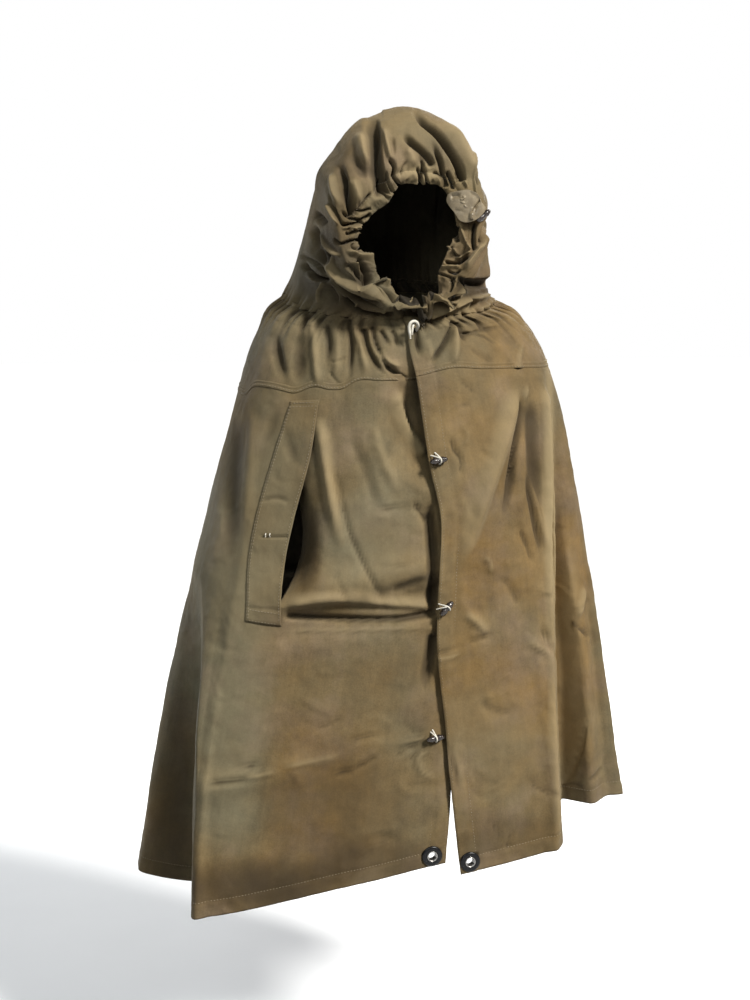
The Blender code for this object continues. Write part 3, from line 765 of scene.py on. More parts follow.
class Nodes:
    """Adds and links the shader nodes of one material."""

    def __init__(self, name: str) -> None:
        """Starts a material with a Principled shader on its output.

        Args:
            name: The material's name.
        """
        self.material = bpy.data.materials.new(name)
        self.material.use_nodes = True
        self.tree = self.material.node_tree
        self.shader = self.tree.nodes["Principled BSDF"]
        place = self.add("ShaderNodeTexCoord")
        self.object = place.outputs["Object"]
        self.uv = place.outputs["UV"]

    def add(self, kind: str, inputs: dict[str | int, object] | None = None, **settings: object
            ) -> bpy.types.Node:
        """Adds a node.

        Args:
            kind: The node's type.
            inputs: Values or sockets for its inputs, by name or number.
            **settings: The node's own properties.

        Returns:
            The node.
        """
        node = self.tree.nodes.new(kind)
        for name, value in settings.items():
            setattr(node, name, value)
        for key, value in (inputs or {}).items():
            self.feed(node.inputs[key], value)
        return node

    def feed(self, socket: Socket, value: object) -> None:
        """Links a socket to an input, or sets the input to a value.

        Args:
            socket: The input.
            value: What it is given.
        """
        if isinstance(value, Socket):
            self.tree.links.new(value, socket)
        else:
            socket.default_value = value

    def noise(self, scale: float, detail: float = 4.0, roughness: float = 0.55) -> Socket:
        """Cloudy noise over the object, about 0.5 in the middle."""
        inputs = {"Vector": self.object, "Scale": scale, "Detail": detail, "Roughness": roughness}
        return self.add("ShaderNodeTexNoise", inputs).outputs["Fac"]

    def spread(self, value: Socket, low: float, high: float, to_low: float, to_high: float
               ) -> Socket:
        """Stretches a value from one range to another, held at both ends."""
        inputs = {"Value": value, "From Min": low, "From Max": high, "To Min": to_low, "To Max": to_high}
        return self.add("ShaderNodeMapRange", inputs).outputs["Result"]

    def maths(self, operation: str, first: object, second: object) -> Socket:
        """Puts two values together by an operation."""
        return self.add("ShaderNodeMath", {0: first, 1: second}, operation=operation).outputs[0]

    def mix(self, share: object, first: object, second: object, blend: str = "MIX") -> Socket:
        """Mixes two colours."""
        inputs = {0: share, 6: first, 7: second}
        return self.add("ShaderNodeMix", inputs, data_type="RGBA", blend_type=blend).outputs[2]

    def tint(self, base_colour: object, value: Socket) -> Socket:
        """Lightens and darkens a colour by a value about 1."""
        grey = self.add("ShaderNodeCombineColor", {0: value, 1: value, 2: value}).outputs[0]
        return self.mix(1.0, base_colour, grey, "MULTIPLY")

    def bump(self, height: Socket, depth: float, strength: float = 1.0,
             under: Socket | None = None) -> Socket:
        """Bumps of a depth in metres, over another normal if there is one.

        Args:
            height: Their height, from 0 to 1.
            depth: What a height of 1 stands for.
            strength: How strongly they show.
            under: The normal that they lie on.

        Returns:
            The normal's socket.
        """
        inputs: dict[str | int, object] = {"Height": height, "Distance": depth, "Strength": strength}
        if under is not None:
            inputs["Normal"] = under
        return self.add("ShaderNodeBump", inputs).outputs["Normal"]

    def finish(self, inputs: dict[str, object]) -> Material:
        """Feeds the Principled shader by its inputs' names.

        Args:
            inputs: Values or sockets.

        Returns:
            The material.
        """
        for name, value in inputs.items():
            self.feed(self.shader.inputs[name], value)
        return self.material


@dataclass(frozen=True)
class CanvasFinish:
    """Worn tent canvas: a plain weave in olive and brown, lighter on ridges, with its troughs darkened by
    grime and by painted shade.
    """

    name: str
    green: Colour = (0.116, 0.105, 0.066, 1.0)
    brown: Colour = (0.160, 0.099, 0.036, 1.0)
    # Faded cloth colour, also mixed in as painted highlight and painted light
    faded_and_painted_light: Colour = (0.310, 0.240, 0.132, 1.0)
    # Soil colour: real soil at the hem, and also painted shade in troughs, hollows and shadowed sides
    soil_and_painted_shade: Colour = (0.028, 0.019, 0.009, 1.0)
    dusty: Colour = (0.178, 0.128, 0.090, 1.0)
    sheen_tint: Colour = (0.86, 0.78, 0.60, 1.0)
    slub_scale: tuple[float, float, float] = (170.0, 15.0, 1.0)
    thread_pitch: float = 0.0011
    roughness: float = 0.74
    sheen: float = 0.12

    def build(self) -> Material:
        """Makes the material.

        Returns:
            A material that reads the cloth's tone and its UV map in metres.
        """
        nodes = Nodes(self.name)
        cloud = nodes.noise(7.0, 5.0)
        rough = nodes.spread(cloud, 0.25, 0.75, self.roughness - 0.08, self.roughness + 0.1)
        return nodes.finish({
            "Base Color": self.base_colour(nodes, cloud),
            "Normal": self.normal(nodes),
            "Roughness": rough,
            "Specular IOR Level": 0.20,
            "Sheen Weight": self.sheen,
            "Sheen Roughness": 0.45,
            "Sheen Tint": self.sheen_tint,
        })

    def base_colour(self, nodes: Nodes, cloud: Socket) -> Socket:
        """The colour: dye in clouds, dust and blotches, flecks of thread, and what the tone gives: stains and
        wear, with painted light and painted shade among them.

        Args:
            nodes: The material's nodes.
            cloud: Its broad noise.

        Returns:
            The colour's socket.
        """
        tone = nodes.add("ShaderNodeAttribute", attribute_name="tone").outputs["Color"]
        split = nodes.add("ShaderNodeSeparateColor", {0: tone}).outputs
        shade, warm, ridge = split[0], split[1], split[2]
        warmth = nodes.maths("ADD", warm, nodes.spread(cloud, 0.3, 0.7, -0.30, 0.30))
        base_colour = nodes.mix(nodes.spread(warmth, 0.0, 1.0, 0.0, 1.0), self.green, self.brown)
        base_colour = nodes.mix(nodes.spread(nodes.noise(9.0, 6.0, 0.6), 0.48, 0.70, 0.0, 0.50), base_colour, self.dusty)
        base_colour = nodes.tint(base_colour, nodes.spread(nodes.noise(19.0, 6.0, 0.66), 0.28, 0.72, 0.70, 1.22))
        slub = nodes.add("ShaderNodeMapping", {"Vector": nodes.uv, "Scale": self.slub_scale}).outputs[0]
        streak = nodes.add("ShaderNodeTexNoise", {"Vector": slub, "Scale": 1.0, "Detail": 3.0}).outputs["Fac"]
        fleck = nodes.spread(nodes.noise(420.0, 2.0), 0.3, 0.7, -0.10, 0.10)
        base_colour = nodes.tint(base_colour, nodes.maths("ADD", fleck, nodes.spread(streak, 0.3, 0.7, 0.94, 1.06)))
        # The tone's shade mixes in the faded and soil colours: real stains, and patches of painted highlight
        # and painted shade
        base_colour = nodes.mix(nodes.spread(shade, 0.5, 1.0, 0.0, 0.75), base_colour, self.faded_and_painted_light)
        base_colour = nodes.mix(nodes.spread(shade, 0.5, 0.0, 0.0, 0.85), base_colour, self.soil_and_painted_shade)
        proud = nodes.spread(ridge, 0.56, 0.95, 0.0, 0.50)
        rub = nodes.maths("MULTIPLY", proud, nodes.spread(cloud, 0.3, 0.6, 0.5, 1.0))
        base_colour = nodes.mix(rub, base_colour, self.faded_and_painted_light)
        # Troughs of the relief darken towards the soil colour: grime, and painted shade in the creases
        return nodes.mix(nodes.spread(ridge, 0.36, 0.02, 0.0, 0.80), base_colour, self.soil_and_painted_shade)

    def normal(self, nodes: Nodes) -> Socket:
        """Stiff dents, soft crumples, and over them warp and weft that cross along the cloth's UV map.

        Args:
            nodes: The material's nodes.

        Returns:
            The normal's socket.
        """
        ridges = {"Vector": nodes.object, "Scale": 19.0, "Detail": 2.0, "Distortion": 0.8}
        dents = nodes.add("ShaderNodeTexNoise", ridges, noise_type="RIDGED_MULTIFRACTAL").outputs["Fac"]
        stiff = nodes.bump(dents, 0.0050, 0.60)
        crumple = nodes.bump(nodes.noise(26.0, 5.0, 0.6), 0.0035, 0.30, stiff)
        scale = math.tau / (20.0 * self.thread_pitch)
        inputs = {"Vector": nodes.uv, "Scale": scale, "Distortion": 0.6, "Detail": 1.0}
        warp, weft = (
            nodes.add("ShaderNodeTexWave", inputs, bands_direction=way).outputs["Fac"] for way in ("X", "Y")
        )
        return nodes.bump(nodes.maths("ADD", warp, weft), 0.00035, 0.35, crumple)


@dataclass(frozen=True)
class LeatherFinish:
    """Rubbed grey-tan leather with a fine grain and darker clouds."""

    name: str
    light: Colour = (0.275, 0.218, 0.136, 1.0)
    dark: Colour = (0.150, 0.118, 0.076, 1.0)
    scuffed: Colour = (0.33, 0.285, 0.20, 1.0)

    def build(self) -> Material:
        """Makes the material.

        Returns:
            A material that varies over the object.
        """
        nodes = Nodes(self.name)
        cloud = nodes.noise(60.0, 5.0)
        base_colour = nodes.mix(nodes.spread(cloud, 0.3, 0.7, 0.0, 1.0), self.dark, self.light)
        scuff = nodes.spread(nodes.noise(240.0, 3.0), 0.55, 0.75, 0.0, 0.5)
        inputs = {"Vector": nodes.object, "Scale": 900.0}
        cells = nodes.add("ShaderNodeTexVoronoi", inputs).outputs["Distance"]
        return nodes.finish({
            "Base Color": nodes.mix(scuff, base_colour, self.scuffed),
            "Normal": nodes.bump(cells, 0.0003, 0.35, nodes.bump(cloud, 0.0015, 0.4)),
            "Roughness": nodes.spread(cloud, 0.3, 0.7, 0.38, 0.58),
        })


@dataclass(frozen=True)
class WoodFinish:
    """Dark stained wood with faint rings and worn, lighter patches along its grain."""

    name: str
    stain: Colour = (0.012, 0.008, 0.007, 1.0)
    worn: Colour = (0.060, 0.036, 0.024, 1.0)

    def build(self) -> Material:
        """Makes the material.

        Returns:
            A material that varies over the object.
        """
        nodes = Nodes(self.name)
        inputs = {"Vector": nodes.object, "Scale": 90.0, "Distortion": 6.0, "Detail": 3.0}
        grain = nodes.add("ShaderNodeTexWave", inputs).outputs["Fac"]
        patch = nodes.spread(nodes.noise(210.0), 0.4, 0.7, 0.0, 0.8)
        rub = nodes.maths("MULTIPLY", nodes.spread(grain, 0.3, 1.0, 0.0, 1.0), patch)
        return nodes.finish({
            "Base Color": nodes.mix(rub, self.stain, self.worn),
            "Normal": nodes.bump(grain, 0.0003, 0.35),
            "Roughness": nodes.spread(grain, 0.0, 1.0, 0.28, 0.46),
            "Coat Weight": 0.25,
        })


@dataclass(frozen=True)
class CottonFinish:
    """Twisted cotton with fine fibres, greyed in grubby patches."""

    name: str
    clean: Colour = (0.74, 0.71, 0.64, 1.0)
    grubby: Colour = (0.46, 0.42, 0.34, 1.0)
    roughness: float = 0.88

    def build(self) -> Material:
        """Makes the material.

        Returns:
            A material that varies over the object.
        """
        nodes = Nodes(self.name)
        grime = nodes.spread(nodes.noise(150.0, 4.0), 0.35, 0.75, 0.0, 0.8)
        return nodes.finish({
            "Base Color": nodes.mix(grime, self.clean, self.grubby),
            "Normal": nodes.bump(nodes.noise(1500.0, 2.0), 0.0003, 0.5),
            "Roughness": nodes.spread(grime, 0.0, 0.8, self.roughness - 0.06, self.roughness + 0.06),
            "Sheen Weight": 0.3,
        })


@dataclass(frozen=True)
class PaintedMetalFinish:
    """Black painted metal, rubbed to grey in patches."""

    name: str
    paint: Colour = (0.004, 0.004, 0.005, 1.0)
    bare: Colour = (0.22, 0.21, 0.20, 1.0)
    metallic: float = 0.0
    gloss: float = 0.22

    def build(self) -> Material:
        """Makes the material.

        Returns:
            A material that varies over the object.
        """
        nodes = Nodes(self.name)
        chip = nodes.spread(nodes.noise(420.0, 4.0), 0.64, 0.76, 0.0, 0.6)
        return nodes.finish({
            "Base Color": nodes.mix(chip, self.paint, self.bare),
            "Normal": nodes.bump(nodes.noise(700.0, 2.0), 0.0002, 0.2),
            "Roughness": nodes.spread(chip, 0.0, 0.7, 0.30, 0.42),
            "Metallic": self.metallic,
            "Specular IOR Level": self.gloss,
        })


def dressed(obj: Piece, slot: Slot, *nodes: str) -> Piece:
    """Puts a piece on the body, in place of its CAD nodes.

    Args:
        obj: The piece.
        slot: Not used.
        *nodes: CAD nodes that it stands for.

    Returns:
        The piece.
    """
    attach(obj, BODY)
    if nodes:
        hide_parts(*nodes)
    LOG.info("%s: %d faces", obj.name, len(obj.data.polygons))
    return obj


@dataclass
class Wardrobe:
    """The finishes of the poncho, made once."""

    canvas: Material
    lining: Material
    leather: Material
    wood: Material
    cord: Material
    thread: Material
    metal: Material
    steel: Material

    @classmethod
    def make(cls) -> Wardrobe:
        """Makes every finish.

        Returns:
            The wardrobe.
        """
        # Much darker copies of the canvas colours for the inside: painted shade for the unlit hollows
        shaded: dict[str, Colour] = {
            "green": (0.052, 0.044, 0.026, 1.0),
            "brown": (0.056, 0.042, 0.022, 1.0),
            "faded_and_painted_light": (0.090, 0.076, 0.048, 1.0),
            "soil_and_painted_shade": (0.012, 0.009, 0.006, 1.0),
            "dusty": (0.058, 0.048, 0.034, 1.0),
        }
        olive, dark_olive = (0.24, 0.19, 0.115, 1.0), (0.13, 0.10, 0.06, 1.0)
        dull, bright = (0.30, 0.29, 0.28, 1.0), (0.60, 0.59, 0.57, 1.0)
        return cls(
            canvas=CanvasFinish("worn_canvas").build(),
            lining=CanvasFinish("canvas_inside_painted_shade", sheen=0.0, **shaded).build(),
            leather=LeatherFinish("rubbed_leather").build(),
            wood=WoodFinish("stained_wood").build(),
            cord=CottonFinish("white_cotton").build(),
            thread=CottonFinish("olive_thread", olive, dark_olive, 0.7).build(),
            metal=PaintedMetalFinish("painted_metal").build(),
            steel=PaintedMetalFinish("bare_metal", dull, bright, metallic=0.9, gloss=0.5).build(),
        )

    def cloth(self, sheet: ClothSheet, node: str) -> Piece:
        """Builds a sheet in canvas, its inside in much darker copies of the canvas colours as painted shade,
        in place of its CAD node.
        """
        return dressed(sheet.build(self.canvas, self.lining), Slot.CANVAS, node)


def mesh_object(name: str, points: Array, faces: list, *materials: Material) -> Piece:
    """A smooth mesh object in the scene.

    Args:
        name: Its name.
        points: Its vertices.
        faces: Vertex numbers of each face.
        *materials: Its material slots.

    Returns:
        The object.
    """
    mesh = bpy.data.meshes.new(name)
    mesh.from_pydata(points.reshape(-1, 3).tolist(), [], faces)
    mesh.shade_smooth()
    for material in materials:
        mesh.materials.append(material)
    obj = bpy.data.objects.new(name, mesh)
    bpy.context.scene.collection.objects.link(obj)
    return obj


def shell(obj: Piece, thickness: float, inner_slot: int = 0) -> None:
    """Gives a surface its thickness, inwards.

    Args:
        obj: The surface.
        thickness: Metres.
        inner_slot: How many material slots on the inside's finish is.
    """
    wall = obj.modifiers.new("wall", "SOLIDIFY")
    wall.thickness = thickness
    wall.offset = -1.0
    wall.material_offset = inner_slot


def grid_faces(lines: int, columns: int, ring: bool = False) -> Array:
    """Quads of a grid of points.

    Args:
        lines: Rows of points.
        columns: Points in a row.
        ring: Whether the last column joins the first.

    Returns:
        Vertex numbers, four to a row, in order of rows and then columns.
    """
    across = columns if ring else columns - 1
    row, column = np.meshgrid(np.arange(lines - 1), np.arange(across), indexing="ij")
    after = (column + 1) % columns
    upper, lower = row * columns, (row + 1) * columns
    return np.stack((upper + column, upper + after, lower + after, lower + column), axis=-1).reshape(-1, 4)


class Slit(NamedTuple):
    """A cut down a column of a grid, and the points of its edge on the lower side of that column."""

    column: int
    first_row: int
    points: Array


@dataclass
class ClothSheet:
    """A grid of cloth with its tone and UV map, made a thin shell."""

    name: str
    points: Array
    tone: Array
    uv: Array
    ring: bool = False
    thickness: float = 0.0017
    slit: Slit | None = None
    holes: tuple[tuple[Array, float], ...] = ()

    def build(self, outer: Material, inner: Material) -> Piece:
        """Makes the shell.

        Args:
            outer: Finish of the face side and the edges.
            inner: Finish of the inside.

        Returns:
            The object.
        """
        line_count, columns = self.points.shape[:2]
        faces = grid_faces(line_count, columns, self.ring)
        points = self.points.reshape(-1, 3)
        tone = self.tone.reshape(-1, 3)
        chart = self.uv.reshape(-1, 2)[grid_faces(line_count, self.uv.shape[1])]
        if self.slit is not None:
            faces, points, tone = self.cut(faces, points, tone, columns)
        keep = np.ones(len(faces), bool)
        for centre, radius in self.holes:
            keep &= ~np.any(np.linalg.norm(points[faces] - centre, axis=-1) < radius, axis=1)
        obj = mesh_object(self.name, points, faces[keep].tolist(), outer, inner)
        colours = np.column_stack((tone, np.ones(len(tone)))).astype(np.float32)
        obj.data.attributes.new("tone", "FLOAT_COLOR", "POINT").data.foreach_set("color", colours.ravel())
        obj.data.uv_layers.new(name="cloth").data.foreach_set("uv", chart[keep].astype(np.float32).ravel())
        shell(obj, self.thickness, 1)
        return obj

    def cut(self, faces: Array, points: Array, tone: Array, columns: int) -> tuple[Array, Array, Array]:
        """Cuts the slit: faces before its column take its own edge points.

        Args:
            faces: The grid's quads.
            points: Its vertices.
            tone: Their tones.
            columns: Points in a row.

        Returns:
            Quads, vertices and tones with the cut in them.
        """
        slit = self.slit
        own = np.arange(len(slit.points))
        old = (slit.first_row + 1 + own) * columns + slit.column
        swap = np.arange(len(points))
        swap[old] = len(points) + own
        on_column = faces % columns
        before = np.any(on_column == slit.column - 1, axis=1) & np.any(on_column == slit.column, axis=1)
        faces = faces.copy()
        faces[before] = swap[faces[before]]
        return faces, np.vstack((points, slit.points)), np.vstack((tone, tone[old]))


@dataclass(frozen=True)
class Thread:
    """A row of machine stitches: dashes of thread that dip into the cloth at their ends."""

    length: float = 0.0036
    gap: float = 0.0017
    radius: float = 0.00048
    stops: tuple[float, ...] = (0.0, 0.3, 0.7, 1.0)
    rises: tuple[float, ...] = (-0.8, 0.5, 0.5, -0.8)

    def sew(self, surface: Surface, first: Array, second: Array, steps: tuple[float, float]) -> Mesh:
        """Stitches along a line of a surface.

        Args:
            surface: Gives points at two parameters.
            first: The line's first parameter.
            second: The line's second parameter.
            steps: Small steps of both, for the normals.

        Returns:
            Vertices and faces of the stitches.
        """
        line = surface(first, second)
        normal = outward(surface, first, second, *steps)
        walked = walk(line)
        pitch = self.length + self.gap
        starts = np.arange(pitch, walked[-1] - pitch, pitch)
        ends = np.stack([starts + stop * self.length for stop in self.stops])
        at = np.stack([np.interp(ends, walked, line[:, axis]) for axis in range(3)], axis=-1)
        out = unit(np.stack([np.interp(ends, walked, normal[:, axis]) for axis in range(3)], axis=-1))
        aside = unit(np.cross(out[1], unit(at[3] - at[0])))
        core = at + out * (np.array(self.rises)[:, None, None] * self.radius)
        ways = (aside, out[1], -aside, -out[1])
        rings = [core[stop] + way * self.radius for stop in (1, 2) for way in ways]
        points = np.stack((core[0], *rings, core[3]), axis=1)
        tips = [(0, 1 + k, 1 + (k + 1) % 4) for k in range(4)]
        tips += [(9, 5 + (k + 1) % 4, 5 + k) for k in range(4)]
        sides = [(1 + k, 5 + k, 5 + (k + 1) % 4, 1 + (k + 1) % 4) for k in range(4)]
        count = points.shape[1]
        faces = [tuple(v + count * k for v in face) for k in range(len(points)) for face in tips + sides]
        return points.reshape(-1, 3), faces


def joined(name: str, parts: Sequence[Mesh], material: Material) -> Piece:
    """One mesh object from several sets of vertices and faces.

    Args:
        name: Its name.
        parts: Vertices and faces of each.
        material: Its finish.

    Returns:
        The object.
    """
    points = []
    faces = []
    base = 0
    for vertices, polygons in parts:
        points.append(vertices)
        faces += [tuple(int(v) + base for v in polygon) for polygon in polygons]
        base += len(vertices)
    return mesh_object(name, np.vstack(points), faces, material)


def turned(profile: Sequence[tuple[float, float]] | Array, steps: int) -> Mesh:
    """A closed turned shape about Z.

    Args:
        profile: Radius and height from top to bottom, on the axis at both ends or closed on itself.
        steps: Sides of the turning.

    Returns:
        Vertices and faces.
    """
    radius, height = np.array(profile).T
    angle = np.arange(steps) * math.tau / steps
    x, y = np.outer(radius, np.cos(angle)), np.outer(radius, np.sin(angle))
    points = np.stack((x, y, np.repeat(height[:, None], steps, axis=1)), axis=-1)
    return points.reshape(-1, 3), grid_faces(len(profile), steps, ring=True)[:, ::-1].tolist()


def moved(points: Array, matrix: Matrix) -> Array:
    """Points moved by a matrix."""
    grid = np.array(matrix)
    return points @ grid[:3, :3].T + grid[:3, 3]


def placed(mesh: Mesh, matrix: Matrix) -> Mesh:
    """Vertices and faces moved by a matrix."""
    return moved(mesh[0], matrix), mesh[1]


@dataclass(frozen=True)
class Twist:
    """A round cord of twisted strands; pitch is the length in which a strand goes round once."""

    sides: int
    pitch: float
    strands: int = 3
    groove: float = 0.20
    roundness: float = 0.8
    start_way: tuple[float, float, float] = (0.31, 0.72, 0.62)

    def tube(self, path: Array, radius: float | Array) -> Mesh:
        """The cord along a path.

        Args:
            path: Points of its middle line.
            radius: Its radius, or one for each point.

        Returns:
            Vertices and faces, closed at both ends.
        """
        ahead = unit(np.gradient(path, axis=0))
        aside = unit(np.cross(ahead[0], self.start_way))
        angle = np.arange(self.sides) * math.tau / self.sides
        rings = []
        for place, way, length, thick in zip(path, ahead, walk(path), np.broadcast_to(radius, len(path))):
            aside = unit(aside - way * (aside @ way))
            other = np.cross(way, aside)
            wave = np.abs(np.cos(0.5 * self.strands * (angle - math.tau * length / self.pitch)))[:, None]
            swell = (1.0 - self.groove) + self.groove * wave**self.roundness
            ring = np.cos(angle)[:, None] * aside + np.sin(angle)[:, None] * other
            rings.append(place + thick * swell * ring)
        faces = grid_faces(len(path), self.sides, ring=True)[:, ::-1].tolist()
        last = (len(path) - 1) * self.sides
        faces.append(list(range(self.sides))[::-1])
        faces.append([last + k for k in range(self.sides)])
        return np.vstack(rings), faces


def seat_matrix(point: Array, x_axis: Array, z_axis: Array) -> Matrix:
    """A matrix that puts a piece's X and Z along two directions, at a point.

    Args:
        point: Where the piece's origin goes.
        x_axis: The way that its X leans to.
        z_axis: The way that its Z goes.

    Returns:
        The matrix.
    """
    z = Vector(z_axis).normalized()
    y = z.cross(Vector(x_axis)).normalized()
    rotation = Matrix((y.cross(z), y, z)).transposed()
    return Matrix.Translation(Vector(point)) @ rotation.to_4x4()


def tilted(way: Array, axis: Array, degrees: float) -> Array:
    """A direction turned about an axis.

    Args:
        way: The direction.
        axis: What it turns about.
        degrees: How far it turns.

    Returns:
        The new direction.
    """
    turned_way = Vector(way)
    turned_way.rotate(Matrix.Rotation(math.radians(degrees), 3, Vector(axis)))
    return np.array(turned_way)


